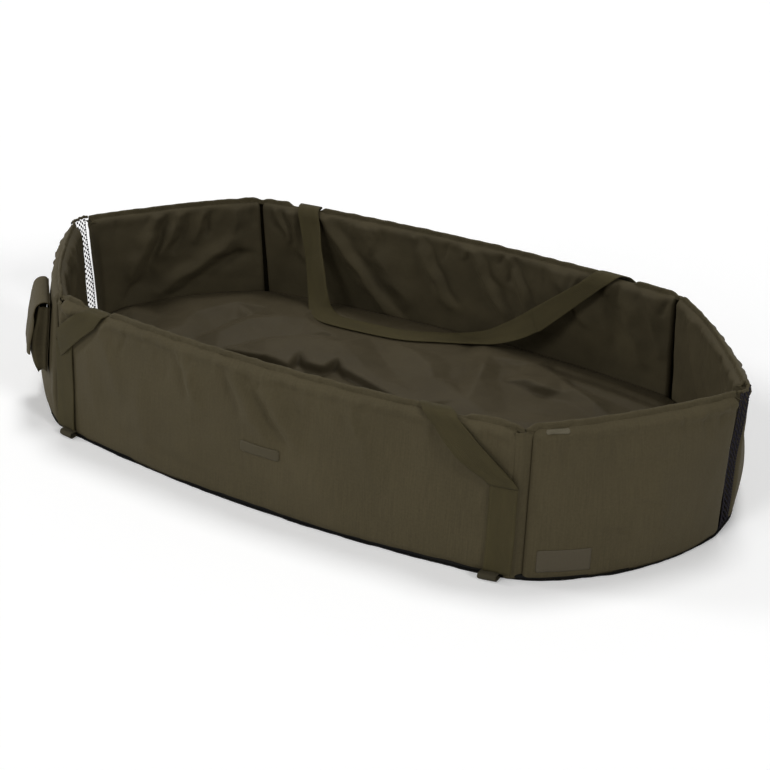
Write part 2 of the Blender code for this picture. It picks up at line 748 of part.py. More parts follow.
def cover_points(lift):
    """Points of the cover, lifted above its underside, as columns of rows."""
    inside = floor_rows(MAT_CLEARANCE, MAT_TOP)
    outside = floor_rows(COVER_CLEARANCE, MAT_TOP + COVER_THICKNESS)
    points = []
    for i, along in enumerate(mirrored(LENGTH_ROW_SHARES)):
        for j, across in enumerate(mirrored(WIDTH_ROW_SHARES)):
            at_edge = 1 in (abs(along), abs(across))
            spot = outside[i][j] if at_edge else inside[i][j]
            points.append(Vector((spot.x, spot.y, cover_height(along, across, spot) + lift)))
    return points


def height_over(point, corners, faces):
    """Height of a faceted surface over a plan point."""
    for face in faces:
        a, b, c = (corners[index] for index in face)
        normal = (b - a).cross(c - a)
        inside = all((q.x - p.x) * (point[1] - p.y) - (q.y - p.y) * (point[0] - p.x) >= 0
                     for p, q in ((a, b), (b, c), (c, a)))
        if inside:
            return a.z - (normal.x * (point[0] - a.x) + normal.y * (point[1] - a.y)) / normal.z
    return 0


def smooth_between(points, steps):
    """Points of a smooth curve through hand-placed tuples, with some steps in each stretch."""
    padded = [points[0]] + list(points) + [points[-1]]
    curve = []
    for k in range(len(points) - 1):
        a, b, c, d = padded[k:k + 4]
        for step in range(steps):
            t = step / steps
            curve.append(tuple(
                (2 * q + (r - p) * t + (2 * p - 5 * q + 4 * r - s) * t ** 2
                 + (3 * q - p - 3 * r + s) * t ** 3) / 2
                for p, q, r, s in zip(a, b, c, d)))
    return curve + [points[-1]]


def handle_axis(panel):
    """Middle of the hinge line along the rim of a side wall."""
    span = (LEFT_CROSSING + RIGHT_CROSSING) / 2
    y = facet_y(panel, span, WALL_HEIGHT, WALL_THICKNESS / 2)
    return Vector((0, y, WALL_HEIGHT - WALL_THICKNESS / 2))


def handle_route(panel):
    """Middle of the hinge line, direction inwards and the points of a carrying loop."""
    axis = handle_axis(panel)
    inwards = -math.copysign(1, axis.y)
    middle = (RIGHT_CROSSING - LEFT_CROSSING) / 2
    half_span = (RIGHT_CROSSING + LEFT_CROSSING) / 2
    start_height = WALL_HEIGHT - SADDLE_DROP - HANDLE_START_GAP
    start_depth = WALL_THICKNESS + LAYER_STEP + SEAT_GAP + WEBBING_THICKNESS
    ends = []
    run = WALL_THICKNESS - 2 * (RIM_SLOPE_DEPTH - LAYER_STEP) + SADDLE_DROP + HANDLE_START_GAP
    for x in (LEFT_SADDLE_LEAN * run - LEFT_CROSSING, RIGHT_CROSSING - RIGHT_SADDLE_LEAN * run):
        ends.append((x, facet_y(panel, x, start_height, start_depth), start_height, 0))
    places = [(middle + along * half_span, axis.y + inwards * inward * HANDLE_REACH, rise, turn)
              for along, inward, rise, turn in HANDLE_ROUTE_SHARES]
    laid = smooth_between([place for place in places if place[2] == 0], 2 * HANDLE_STEPS)
    corners = cover_points(COVER_THICKNESS)
    faces = grid_faces(len(mirrored(LENGTH_ROW_SHARES)), len(mirrored(WIDTH_ROW_SHARES)), 0, False)
    footprint = WEBBING_WIDTH / 2
    floor = max(height_over((x, y + edge), corners, faces)
                for x, y, _, _ in laid for edge in (-footprint, 0, footprint))
    floor += HANDLE_REST_GAP + WEBBING_THICKNESS / 2
    route = [(x, y, floor + (axis.z - floor) * rise, turn) for x, y, rise, turn in places]
    curve = smooth_between([ends[0]] + route + [ends[1]], HANDLE_STEPS)
    return axis, inwards, [(x, y, max(z, floor), turn) for x, y, z, turn in curve]


def add_handle(name, panel, finishes):
    """Loose carrying loop, draped inside the wall down to the cover."""
    axis, inwards, route = handle_route(panel)
    count = len(route)
    points = []
    for k, (x, y, z, turn) in enumerate(route):
        here = Vector((x, y, z))
        before = Vector(route[max(0, k - 1)][:3])
        after = Vector(route[min(count - 1, k + 1)][:3])
        along = (after - before).normalized()
        lean = math.radians(90) * min(1, max(0, turn))
        facing = Vector((0, inwards * math.cos(lean), math.sin(lean)))
        across = along.cross(facing).normalized()
        half = WEBBING_WIDTH / 2
        if k in (0, count - 1):
            half = CROSSING_WIDTH / 2
            slope = facet_y(panel, x + half, z, WALL_THICKNESS) - facet_y(panel, x - half, z, WALL_THICKNESS)
            across = Vector((2 * half, slope, 0)).normalized() * math.copysign(1, across.x)
            facing = Vector((-across.y, across.x, 0)) * math.copysign(1, across.x * inwards)
        else:
            facing = across.cross(along).normalized()
        up = facing * (WEBBING_THICKNESS / 2)
        wide = across * half
        points += [here - axis - wide - up, here - axis + wide - up,
                   here - axis + wide + up, here - axis - wide + up]
    piece = add_object(name, points, ribbon_faces(count), finishes["webbing"], smooth=True)
    piece.location = axis


def add_peg_loops(finishes):
    """Folded loops of narrow webbing at the foot of each strap, lying on the ground."""
    thick = PEG_WEBBING_THICKNESS
    outer_radius = PEG_LOOP_HEIGHT / 2
    inner_radius = outer_radius - thick
    straight = PEG_LOOP_LENGTH - outer_radius
    middle = PEG_LOOP_LIFT + outer_radius
    angles = [math.pi * k / PEG_BEND_STEPS - math.pi / 2 for k in range(PEG_BEND_STEPS + 1)]
    outside = [(0, middle - outer_radius)]
    outside += [(straight + outer_radius * math.cos(a), middle + outer_radius * math.sin(a)) for a in angles]
    outside.append((0, middle + outer_radius))
    inside = [(0, middle + inner_radius)]
    inside += [(straight + inner_radius * math.cos(a), middle + inner_radius * math.sin(a))
               for a in reversed(angles)]
    inside.append((0, middle - inner_radius))
    section = outside + inside
    count = len(section)
    half = PEG_WEBBING_WIDTH / 2
    points = [Vector((x, -out, z)) for x in (-half, half) for out, z in section]
    steps = len(outside)
    faces = ring_faces(range(count), range(count, 2 * count))
    for side in (0, count):
        for k in range(steps - 1):
            faces.append((side + k, side + k + 1, side + count - 2 - k, side + count - 1 - k))
    loop_x = FOLD_X - PEG_LOOP_INSET
    for side in ("near", "far"):
        panel = PANEL[side + "_side"]
        for end, label in ((-1, "left"), (1, "right")):
            edges = []
            for x in (end * loop_x - half, end * loop_x + half):
                y = facet_y(panel, x, 0, 0)
                edges.append(Vector((x, y, 0)))
            run = (edges[1] - edges[0]).normalized()
            out = Vector((run.y, -run.x, 0)) * -math.copysign(1, edges[0].y)
            piece = add_object(f"{side}_{label}_peg_loop", points, faces, finishes["peg_webbing"])
            piece.location = (edges[0] + edges[1]) / 2 + out * SEAT_GAP
            piece.rotation_euler.z = math.atan2(out.y, out.x) + math.pi / 2


def seat(panel, start, width, foot, height, depth, swell=-1):
    """Frame of a flat plate that rests on the wall: across, up and out, clear of every facet."""
    length = (corner_at(panel.finish, 1) - corner_at(panel.start, 1)).length
    low, high = start / length, (start + width) / length

    def face(share, level):
        return face_point(panel, share, level, depth, swell)

    left, right = face(low, foot), face(high, foot)
    upper_left, upper_right = face(low, foot + height), face(high, foot + height)
    across = (right + upper_right - left - upper_left).normalized()
    up = (upper_left + upper_right - left - right).normalized()
    out = across.cross(up).normalized()
    up = out.cross(across)
    middle = (left + right) / 2
    shares = [low + (high - low) * k / SEAT_CHECKS for k in range(SEAT_CHECKS + 1)]
    shares += [share for share in panel.shares if low < share < high]
    levels = [foot + height * k / SEAT_CHECKS for k in range(SEAT_CHECKS + 1)]
    levels += [level for level in wall_levels() if foot < level < foot + height]
    stand = max((face(share, level) - middle).dot(out) for share in shares for level in levels)
    origin = middle + out * (stand + SEAT_GAP)
    frame = Matrix((across, up, out)).transposed().to_4x4()
    frame.translation = origin
    return frame


def face_point(panel, share, height, depth, swell):
    """Point on the wall's facets at a share of the panel and a height."""
    station, s = cell_of(share, panel.shares)
    level, h = cell_of(height, wall_levels())
    first, second, third = facet_corners(panel, station, level, s, h, depth, swell)
    near, far = (s - h, h) if s >= h else (h - s, s)
    return first * (1 - near - far) + second * far + third * near


def box_mesh(low, high):
    points = [Vector((x, y, z)) for z in (low[2], high[2]) for y in (low[1], high[1]) for x in (low[0], high[0])]
    faces = [(0, 1, 3, 2), (4, 5, 7, 6), (0, 1, 5, 4), (2, 3, 7, 6), (0, 2, 6, 4), (1, 3, 7, 5)]
    return points, faces


def add_plate(name, frame, low, high, material):
    points, faces = box_mesh(low, high)
    piece = add_object(name, points, faces, material)
    piece.matrix_world = frame
    return piece


def add_badge(finishes):
    """Bare soft badge with rounded corners on the near side."""
    panel = PANEL["near_side"]
    start = FOLD_X + BADGE_CENTRE - BADGE_WIDTH / 2
    frame = seat(panel, start, BADGE_WIDTH, BADGE_FOOT, BADGE_HEIGHT, 0)
    inset = BADGE_CORNER * (1 - math.sqrt(0.5))
    half = BADGE_WIDTH / 2
    corner = [(half, BADGE_CORNER), (half - inset, inset), (half - BADGE_CORNER, 0)]
    lower = corner + [(-x, y) for x, y in reversed(corner)]
    outline = lower + [(x, BADGE_HEIGHT - y) for x, y in reversed(lower)]
    count = len(outline)
    points = [Vector((x, y, z)) for z in (0, BADGE_THICKNESS) for x, y in outline]
    faces = ring_faces(range(count), range(count, 2 * count))
    faces.append(tuple(range(count)))
    faces.append(tuple(range(count, 2 * count)))
    piece = add_object("badge_plate", points, faces, finishes["badge_rubber"])
    piece.matrix_world = frame


def add_trim(finishes):
    """Bare care label and rim tab on the near right end."""
    panel = PANEL["near_right_end"]
    frame = seat(panel, LABEL_START, LABEL_WIDTH, LABEL_FOOT, LABEL_HEIGHT, 0)
    half = LABEL_WIDTH / 2
    add_plate("care_label", frame, (-half, 0, 0), (half, LABEL_HEIGHT, LABEL_THICKNESS),
              finishes["label_fabric"])
    shoulder = WALL_HEIGHT - RIM_SLOPE_HEIGHT
    frame = seat(panel, TAB_START, TAB_WIDTH, shoulder - TAB_HEIGHT, TAB_HEIGHT, -LAYER_STEP, 0)
    half = TAB_WIDTH / 2
    add_plate("rim_tab", frame, (-half, 0, 0), (half, TAB_HEIGHT, TAB_THICKNESS), finishes["tab_webbing"])


def front_bulge(across, up):
    """Outward swell of the pocket's front at a share of its width and height."""
    return POCKET_BULGE * 16 * across * (1 - across) * up * (1 - up)


def add_pocket(finishes):
    """Bellows pocket with a hinged flap and its hook and loop pads."""
    panel = PANEL["near_left_end"]
    length = (corner_at(panel.finish, 1) - corner_at(panel.start, 1)).length
    start = length - POCKET_FROM_FOLD - POCKET_WIDTH
    frame = seat(panel, start, POCKET_WIDTH, POCKET_FOOT, POCKET_HEIGHT, 0)
    fabric = finishes["outer_nylon"]
    half = POCKET_WIDTH / 2
    thick = POCKET_FABRIC
    add_plate("pocket_back", frame, (-half, 0, 0), (half, POCKET_HEIGHT, thick), fabric)

    gusset_start = thick + SEAT_GAP
    gusset_finish = gusset_start + POCKET_DEPTH
    outline = [(-half, POCKET_FRONT_HEIGHT), (-half, 0), (half, 0), (half, POCKET_FRONT_HEIGHT),
               (half - thick, POCKET_FRONT_HEIGHT), (half - thick, thick), (thick - half, thick),
               (thick - half, POCKET_FRONT_HEIGHT)]
    count = len(outline)
    points = [Vector((x, y, z)) for z in (gusset_start, gusset_finish) for x, y in outline]
    faces = ring_faces(range(count), range(count, 2 * count))
    for side in (0, count):
        faces += [(side, side + 1, side + 6, side + 7), (side + 1, side + 2, side + 5, side + 6),
                  (side + 2, side + 3, side + 4, side + 5)]
    gusset = add_object("pocket_gusset", points, faces, fabric)
    gusset.matrix_world = frame

    front = gusset_finish + SEAT_GAP
    steps = [k / POCKET_GRID for k in range(POCKET_GRID + 1)]
    points = [Vector((across * POCKET_WIDTH - half, up * POCKET_FRONT_HEIGHT,
                      front + front_bulge(across, up) + lift))
              for lift in (thick, 0) for across in steps for up in steps]
    rows = len(steps)
    faces = grid_faces(rows, rows, 0, False) + grid_faces(rows, rows, rows * rows, True)
    faces += ring_faces(border(rows, rows, 0), border(rows, rows, rows * rows))
    piece = add_object("pocket_front", points, faces, fabric)
    piece.matrix_world = frame

    add_flap(frame, front + thick, finishes)


def add_flap(frame, front, finishes):
    """Flap over the pocket's mouth, hinged along its top edge, and the pads that hold it shut."""
    half = POCKET_WIDTH / 2 + FLAP_OVERHANG
    hinge_height = POCKET_HEIGHT + FLAP_THICKNESS * math.sqrt(0.5) + SEAT_GAP
    hinge_out = FLAP_THICKNESS / 2
    loop_back = front + front_bulge(0.5, PAD_FOOT_SHARE) + SEAT_GAP
    hook_back = loop_back + PAD_THICKNESS + SEAT_GAP
    inside = hook_back + PAD_THICKNESS + SEAT_GAP - hinge_out
    crest = front + FLAP_CLEARANCE - hinge_out
    pad_level = POCKET_FRONT_HEIGHT * PAD_FOOT_SHARE + PAD_HEIGHT / 2
    inner = [(-hinge_out, -FLAP_THICKNESS / 2), (crest, -FLAP_THICKNESS / 2 - FLAP_CLEARANCE),
             (inside, pad_level - hinge_height), (inside + FLAP_FLARE, -FLAP_DROP)]
    outer = [(-hinge_out, FLAP_THICKNESS / 2), (crest + FLAP_THICKNESS, FLAP_THICKNESS / 2),
             (inside + FLAP_THICKNESS, pad_level - hinge_height),
             (inside + FLAP_FLARE + FLAP_THICKNESS, -FLAP_DROP)]
    section = inner + outer[::-1]
    count = len(section)
    points = [Vector((x, up, out)) for x in (-half, half) for out, up in section]
    faces = ring_faces(range(count), range(count, 2 * count))
    for side in (0, count):
        for k in range(len(inner) - 1):
            faces.append((side + k, side + k + 1, side + count - 2 - k, side + count - 1 - k))
    hinge = frame @ Matrix.Translation((0, hinge_height, hinge_out))
    flap = add_object("pocket_flap", points, faces, finishes["outer_nylon"])
    flap.matrix_world = hinge

    wide = PAD_WIDTH / 2
    tall = PAD_HEIGHT / 2
    add_plate("pocket_loop_pad", frame, (-wide, pad_level - tall, loop_back),
              (wide, pad_level + tall, loop_back + PAD_THICKNESS), finishes["hook_tape"])
    back = hook_back - hinge_out
    add_plate("pocket_hook_pad", hinge, (-wide, pad_level - tall - hinge_height, back),
              (wide, pad_level - hinge_height, back + PAD_THICKNESS), finishes["hook_tape"])


def make_finishes():
    return {
        "outer_nylon": finish_material("outer_nylon", (0.072, 0.060, 0.034), 0.72),
        "lining_nylon": finish_material("lining_nylon", (0.040, 0.034, 0.024), 0.60),
        "binding_tape": finish_material("binding_tape", (0.062, 0.052, 0.030), 0.75),
        "wall_foam": finish_material("wall_foam", (0.60, 0.60, 0.58), 0.90),
        "floor_foam": finish_material("floor_foam", (0.35, 0.35, 0.34), 0.90),
        "net": finish_material("net", (0.020, 0.020, 0.020), 0.60),
        "black_base": finish_material("black_base", (0.015, 0.015, 0.015), 0.65),
        "mat_fabric": finish_material("mat_fabric", (0.060, 0.052, 0.036), 0.62),
        "cover_fabric": finish_material("cover_fabric", (0.072, 0.060, 0.040), 0.50),
        "webbing": finish_material("webbing", (0.070, 0.056, 0.028), 0.70),
        "peg_webbing": finish_material("peg_webbing", (0.060, 0.050, 0.030), 0.70),
        "hook_tape": finish_material("hook_tape", (0.030, 0.028, 0.022), 0.85),
        "badge_rubber": finish_material("badge_rubber", (0.045, 0.040, 0.030), 0.45),
        "label_fabric": finish_material("label_fabric", (0.110, 0.090, 0.065), 0.65),
        "tab_webbing": finish_material("tab_webbing", (0.150, 0.135, 0.095), 0.65),
    }


def main():
    clear_scene()
    finishes = make_finishes()
    add_walls(finishes)
    add_corner_webs(finishes)
    add_base(finishes)
    add_mat(finishes)
    add_cover(finishes)
    for name, end in (("left", -1), ("right", 1)):
        add_net(name + "_drain_net", end, finishes)
        add_net_binding(name + "_net_binding", end, finishes)
    add_straps(finishes)
    add_handle("near_handle", PANEL["near_side"], finishes)
    add_handle("far_handle", PANEL["far_side"], finishes)
    add_peg_loops(finishes)
    add_pocket(finishes)
    add_badge(finishes)
    add_trim(finishes)


main()
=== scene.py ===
"""Looks of a walled unhooking mat: six padded nylon panels round a padded floor with a loose cover."""
import math

import bpy
import numpy as np
from mathutils import Matrix, Vector
from mathutils.geometry import delaunay_2d_cdt


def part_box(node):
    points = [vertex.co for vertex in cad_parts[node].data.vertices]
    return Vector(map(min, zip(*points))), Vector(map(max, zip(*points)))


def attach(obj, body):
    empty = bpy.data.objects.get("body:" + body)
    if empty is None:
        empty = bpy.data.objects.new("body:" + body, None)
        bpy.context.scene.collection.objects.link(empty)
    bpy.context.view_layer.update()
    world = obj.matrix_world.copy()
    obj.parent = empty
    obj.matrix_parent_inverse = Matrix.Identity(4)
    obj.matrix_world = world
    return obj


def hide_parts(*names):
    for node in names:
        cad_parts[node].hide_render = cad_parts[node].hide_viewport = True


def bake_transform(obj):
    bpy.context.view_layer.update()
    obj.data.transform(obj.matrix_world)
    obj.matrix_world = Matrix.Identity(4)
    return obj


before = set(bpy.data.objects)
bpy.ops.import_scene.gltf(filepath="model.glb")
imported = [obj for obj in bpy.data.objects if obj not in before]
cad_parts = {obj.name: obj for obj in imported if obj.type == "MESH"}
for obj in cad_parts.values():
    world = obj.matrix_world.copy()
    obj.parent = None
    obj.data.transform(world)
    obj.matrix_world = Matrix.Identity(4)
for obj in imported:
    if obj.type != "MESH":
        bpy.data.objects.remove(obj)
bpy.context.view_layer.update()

# Sizes of the mat, in metres
HALF_LENGTH = 0.580
FOLD_X = 0.394
RIM_WIDTH = 0.5266
BASE_WIDTH = 0.5586
TIP_OPENING = 0.036
TIP_LEAN = 0.010
WALL_HEIGHT = 0.218
WALL_THICKNESS = 0.022
WALL_FOOT = 0.0066
FOLD_SETBACK = 0.012
RIDGE_SETBACK = 0.0036
RIDGE_DEPTH = 0.0110
NYLON = 0.0008
DOUBLED_NYLON = 0.0009

# How far the walls bow out at the base and at the rim
NEAR_BOWS = (0.036, 0.032)
FAR_BOWS = (0.036, 0.025)
END_BOWS = (0.037, 0.016)

# Cloth of the walls: swell of its padding, seam under the rim, foot, and where folds fade out
SWELL = 0.016
HEM_FOOT = 0.194
HEM_DIP = 0.0011
HEM_RIDGE = 0.0016
FOOT_TUCK = 0.0035
ROLL_FADE = (0.203, 0.212)
SKIN_TOP = 0.206

# Padding that has slumped outwards in two ends: place along, height and depth
SLUMPS = {"near_left_end": (0.140, 0.048, 0.0120), "far_right_end": (0.115, 0.060, 0.0110)}
SLUMP_LENGTH = 0.080
SLUMP_HEIGHT = 0.046

# Padding of the walls: levels of its foot and top, then how far it keeps back and is rounded
PADDING_LEVELS = (0.0115, 0.2085)
PADDING_INSET = 0.006
PADDING_FRONT = 0.0048
PADDING_BACK = 0.0085
PADDING_ROUNDING = 0.0070

# Tape over the rim: how far folds and straps draw it down, its waves and its unevenness
FOLD_DIP = 0.0050
STRAP_DIP = 0.0060
LONG_WAVE = 0.034
SHORT_WAVE = 0.012
RUFFLE = 0.0010
CRUMPLE = 0.0019

# Corner strips: levels of foot and top, seam turned in, and how far they stand out
STRIP_LEVELS = (0.0022, 0.2100)
STRIP_SEAM = 0.0012
STRIP_SWELL = 0.0030

# Floor, from the piping up; pairs are wide and high, or along and across
RING_STEP = 0.006
PIPING_LEVEL = 0.0048
PIPING_RADII = (0.0030, 0.0031)
FOAM_FOOT = 0.0019
MAT_FOOT = 0.0162
MAT_TOP = 0.0441
MAT_CROWN = 0.010
CHANNEL_SHARES = (0.84, 0.80)
CHANNEL_DEPTH = 0.0045
COVER_EDGE = 0.0055
COVER_GAP = 0.0012
COVER_CEILING = 0.0920
FOLD_LEAN = (0.58, -0.95)

# Nets in the tips; a thread's places in its row, and its radius at each
NET_TOP = 0.2172
NET_COLUMNS = 8
NET_ROWS = 48
NET_THREAD = ((0.06, 0.00030), (0.30, 0.00125), (0.70, 0.00125), (0.94, 0.00030))
NET_TAPE_LEVEL = 0.2166

# Webbing: sewn strips, bands over the rim and carrying loops; pairs are left and right
WEBBING_WIDTH = 0.038
CROSSING_WIDTH = 0.048
PRESSED_EDGE = 0.014
STRIPS = (-0.374, 0.374)
SEWN_HEIGHTS = (0.128, 0.139)
CROSSINGS = (-0.297, 0.277)
NEAR_LEFT_SHIFT = -0.012
NEAR_LEFT_SAG = 0.005
BAND_SAG = 0.0080
SADDLE_LEANS = (0.38, 1.1)
LOOP_X = 0.287
LOOP_GAP = 0.0034
HANDLE_REACH = 0.081
PEG_HALF = 0.0125

# Pocket, the heights and sides over which its hold on the wall's cloth sets in, and its lid
POCKET_ALONG = 0.2225
POCKET_HALF = 0.050
HOLD_HEIGHTS = (0.050, 0.074)
HOLD_SIDES = (0.054, 0.072)
POCKET_TOP = 0.1035
POCKET_SINK = 0.008
LID_HALF = 0.053
LID_TOP = 0.112

# Where the pocket's width, height and depth point, and the middle of its foot
POCKET_FRAME = np.array(((0.69672, 0.08822, -0.7119, -0.47152),
                         (-0.71734, 0.08569, -0.69143, -0.21495),
                         (0, 0.99241, 0.12299, 0.07861)))

# Linear colours, each light and dark
OUTER_OLIVE = ((0.074, 0.060, 0.031), (0.052, 0.042, 0.021))
LINING_OLIVE = ((0.067, 0.055, 0.031), (0.052, 0.043, 0.025))
COVER_OLIVE = ((0.059, 0.048, 0.028), (0.046, 0.037, 0.021))
MAT_OLIVE = ((0.064, 0.054, 0.036), (0.050, 0.042, 0.028))
LABEL_OLIVE = ((0.084, 0.071, 0.046), (0.066, 0.055, 0.035))
RUBBER_OLIVE = ((0.066, 0.055, 0.031), (0.052, 0.043, 0.024))
WEBBING_OLIVE = ((0.0640, 0.0520, 0.0205), (0.0360, 0.0290, 0.0120))
PEG_OLIVE = ((0.062, 0.053, 0.031), (0.036, 0.030, 0.017))
TAB_SAND = ((0.150, 0.132, 0.088), (0.085, 0.074, 0.047))
PILE_BROWN = ((0.045, 0.040, 0.030), (0.018, 0.017, 0.013))
NET_BLACK = ((0.030, 0.027, 0.034), (0.008, 0.007, 0.010))
BASE_BLACK = ((0.014, 0.013, 0.011), (0.010, 0.010, 0.010))
WALL_FOAM = ((0.62, 0.62, 0.59), (0.52, 0.52, 0.49))
FLOOR_FOAM = ((0.36, 0.36, 0.35), (0.28, 0.28, 0.27))

# Room light, and lamps: name, direction towards it, strength and spread in degrees
AMBIENT = 0.15
LAMPS = (
    ("key", (-0.20, -0.88, 0.80), 0.68, 14),
    ("low front", (-0.45, -0.90, 0.34), 0.46, 20),
    ("low left", (-0.95, -0.30, 0.40), 0.75, 14),
    ("low right", (0.90, -0.25, 0.45), 1.00, 14),
    ("top", (-0.10, 0.34, 1.00), 1.15, 18),
)

# Camera: focal length and picture width in pixels, sensor width in mm, place and directions
FOCAL_LENGTH = 1564.08
PICTURE_WIDTH = 770
SENSOR_WIDTH = 36
CAMERA_PLACE = (1.15364, -1.83203, 1.13560)
CAMERA_RIGHT = (0.8485, 0.5291, 0.0097)
CAMERA_FORWARD = (-0.4707, 0.7629, -0.4433)


# Finishes

class Wire:
    """Output of a node, worked with as a number, a colour or a vector."""

    def __init__(self, nodes, socket):
        self.nodes = nodes
        self.socket = socket

    def work(self, operation, *values):
        return self.nodes.node("ShaderNodeMath", {"operation": operation}, dict(enumerate(values)))

    def __add__(self, other):
        return self.work("ADD", self, other)

    def __radd__(self, other):
        return self.work("ADD", other, self)

    def __sub__(self, other):
        return self.work("SUBTRACT", self, other)

    def __rsub__(self, other):
        return self.work("SUBTRACT", other, self)

    def __mul__(self, other):
        return self.work("MULTIPLY", self, other)

    def __rmul__(self, other):
        return self.work("MULTIPLY", other, self)

    def __truediv__(self, other):
        return self.work("DIVIDE", self, other)

    def __rtruediv__(self, other):
        return self.work("DIVIDE", other, self)

    def size(self):
        return self.work("ABSOLUTE", self)

    def wave(self):
        """From 0 to 1 and back over each whole number."""
        return self.work("SINE", self * (2 * math.pi)) * 0.5 + 0.5

    def between(self, low, high):
        """0 below low and 1 above high, with a soft step."""
        return self.nodes.node("ShaderNodeMapRange", {"interpolation_type": "SMOOTHSTEP"},
                               {"Value": self, "From Min": low, "From Max": high})


class Nodes:
    """Node tree, and the one way in which nodes are added to it."""

    def __init__(self, tree):
        self.tree = tree

    def node(self, kind, settings=None, values=None, output=0):
        made = self.tree.nodes.new(kind)
        for key, value in (settings or {}).items():
            setattr(made, key, value)
        for key, value in (values or {}).items():
            self.feed(made.inputs[key], value)
        return Wire(self, made.outputs[output])

    def feed(self, socket, value):
        if isinstance(value, Wire):
            self.tree.links.new(value.socket, socket)
        elif isinstance(value, tuple) and socket.type == "RGBA":
            socket.default_value = (*value, 1)
        else:
            socket.default_value = value

    def outputs(self, wire, *names):
        """More outputs of the node that a wire comes from."""
        return [Wire(self, wire.socket.node.outputs[name]) for name in names]


class Finish(Nodes):
    """Cloth, webbing or moulded finish made of nodes."""

    def __init__(self, name, roughness, specular, sheen=0.0):
        self.material = bpy.data.materials.new(name)
        self.material.use_nodes = True
        super().__init__(self.material.node_tree)
        self.shader = self.tree.nodes["Principled BSDF"]
        self.put("Roughness", roughness)
        self.put("Sheen Weight", sheen)
        self.put("Specular IOR Level", specular)

    def put(self, name, value):
        self.feed(self.shader.inputs[name], value)

    def places(self, output="UV"):
        return self.node("ShaderNodeTexCoord", output=output)

    def weave(self):
        """Cloth coordinates, and how far they lie across and along."""
        uv = self.places()
        split = self.node("ShaderNodeSeparateXYZ", None, {"Vector": uv})
        return [uv, *self.outputs(split, "X", "Y")]

    def stretched(self, vector, scale):
        return self.node("ShaderNodeVectorMath", {"operation": "MULTIPLY"}, {0: vector, 1: scale})

    def noise(self, vector, scale, detail=2.0, roughness=0.5):
        return self.node("ShaderNodeTexNoise", None,
                         {"Vector": vector, "Scale": scale, "Detail": detail, "Roughness": roughness})

    def mix(self, share, first, second):
        return self.node("ShaderNodeMix", {"data_type": "RGBA"}, {"Factor": share, 6: first, 7: second}, 2)

    def colour(self, share, shades):
        light, dark = shades
        self.put("Base Color", self.mix(share, dark, light))

    def relief(self, height, distance):
        bump = self.node("ShaderNodeBump", None, {"Height": height, "Distance": distance, "Strength": 1.0})
        self.put("Normal", bump)


def oxford(name, shades, roughness, streaks=0.55, relief=0.00022):
    """Coarse coated oxford nylon: a plain weave whose warp threads vary in colour."""
    cloth = Finish(name, roughness, 0.14)
    uv, across, along = cloth.weave()
    warp = (across * 900).wave()
    weft = (along * 900).wave()
    thread = cloth.noise(cloth.stretched(uv, (520, 22, 1)), 1.0)
    patch = cloth.noise(cloth.places("Object"), 9.0, 3.0)
    mottle = cloth.noise(uv, 300.0)
    share = thread * streaks + patch * 0.5 + mottle * 0.45 + warp * weft * 0.12
    cloth.colour(share.between(0.45, 1.15), shades)
    cloth.put("Roughness", roughness - 0.06 + thread * 0.08 + patch * 0.06)
    cloth.relief(warp * weft + thread * 0.8 + mottle * 0.5, relief)
    return cloth.material


def coated(name, shades, roughness, shine=0.05):
    """Thin, soft coated cloth with fine crumples."""
    cloth = Finish(name, roughness, shine)
    uv, across, along = cloth.weave()
    grain = (across * 1400).wave() * (along * 1400).wave()
    patch = cloth.noise(cloth.places("Object"), 14.0, 4.0)
    crumple = cloth.noise(uv, 70.0, 3.0, 0.55)
    mottle = cloth.noise(uv, 420.0)
    cloth.colour((patch * 0.7 + crumple * 0.25 + mottle * 0.2).between(0.35, 0.85), shades)
    cloth.put("Roughness", roughness - 0.08 + crumple * 0.16)
    cloth.relief(grain * 0.3 + crumple * 2.2 + mottle * 0.5, 0.00016)
    return cloth.material


def ribbed(name, shades, roughness, pitch=0.0016, stitches=False):
    """Woven webbing: chevron ribs across the width, fine cords and perhaps two rows of stitching."""
    cloth = Finish(name, roughness, 0.15)
    uv, across, along = cloth.weave()
    chevron = (across / (2 * pitch)).wave() * 0.9
    ribs = (along / pitch + chevron).wave()
    cords = (across / pitch).wave()
    fuzz = cloth.noise(uv, 900.0)
    patch = cloth.noise(cloth.stretched(uv, (60, 14, 1)), 1.0)
    light, dark = shades
    share = (ribs * 0.35 + cords * 0.15 + fuzz * 0.3 + patch * 0.5).between(0.25, 1.05)
    colour = cloth.mix(share, dark, light)
    if stitches:
        from_seam = across.size() - (WEBBING_WIDTH / 2 - 0.003)
        seam = 1 - from_seam.size().between(0.0004, 0.0009)
        dash = (along / 0.0042).wave().between(0.25, 0.45)
        colour = cloth.mix(seam * dash * 0.55, colour, light)
    cloth.put("Base Color", colour)
    cloth.put("Roughness", roughness - 0.05 + fuzz * 0.12)
    cloth.relief(ribs * 1.0 + cords * 0.6 + fuzz * 0.4, 0.00035)
    return cloth.material


def plain_foam(name, shades):
    foam = Finish(name, 0.9, 0.2)
    cells = foam.noise(foam.places("Object"), 420.0, 3.0)
    foam.colour(cells, shades)
    foam.relief(cells, 0.0004)
    return foam.material


def black_cloth(name):
    cloth = Finish(name, 0.9, 0.02)
    spots = cloth.places("Object")
    weave = cloth.noise(spots, 600.0)
    dust = cloth.noise(spots, 30.0, 3.0)
    cloth.colour(dust.between(0.35, 0.8), BASE_BLACK)
    cloth.put("Roughness", 0.8 + weave * 0.2)
    cloth.relief(weave, 0.0002)
    return cloth.material


def net_thread(name):
    thread = Finish(name, 0.85, 0.10)
    twist = thread.noise(thread.places("Object"), 1500.0, 1.0)
    thread.colour(twist, NET_BLACK)
    thread.relief(twist, 0.0001)
    return thread.material


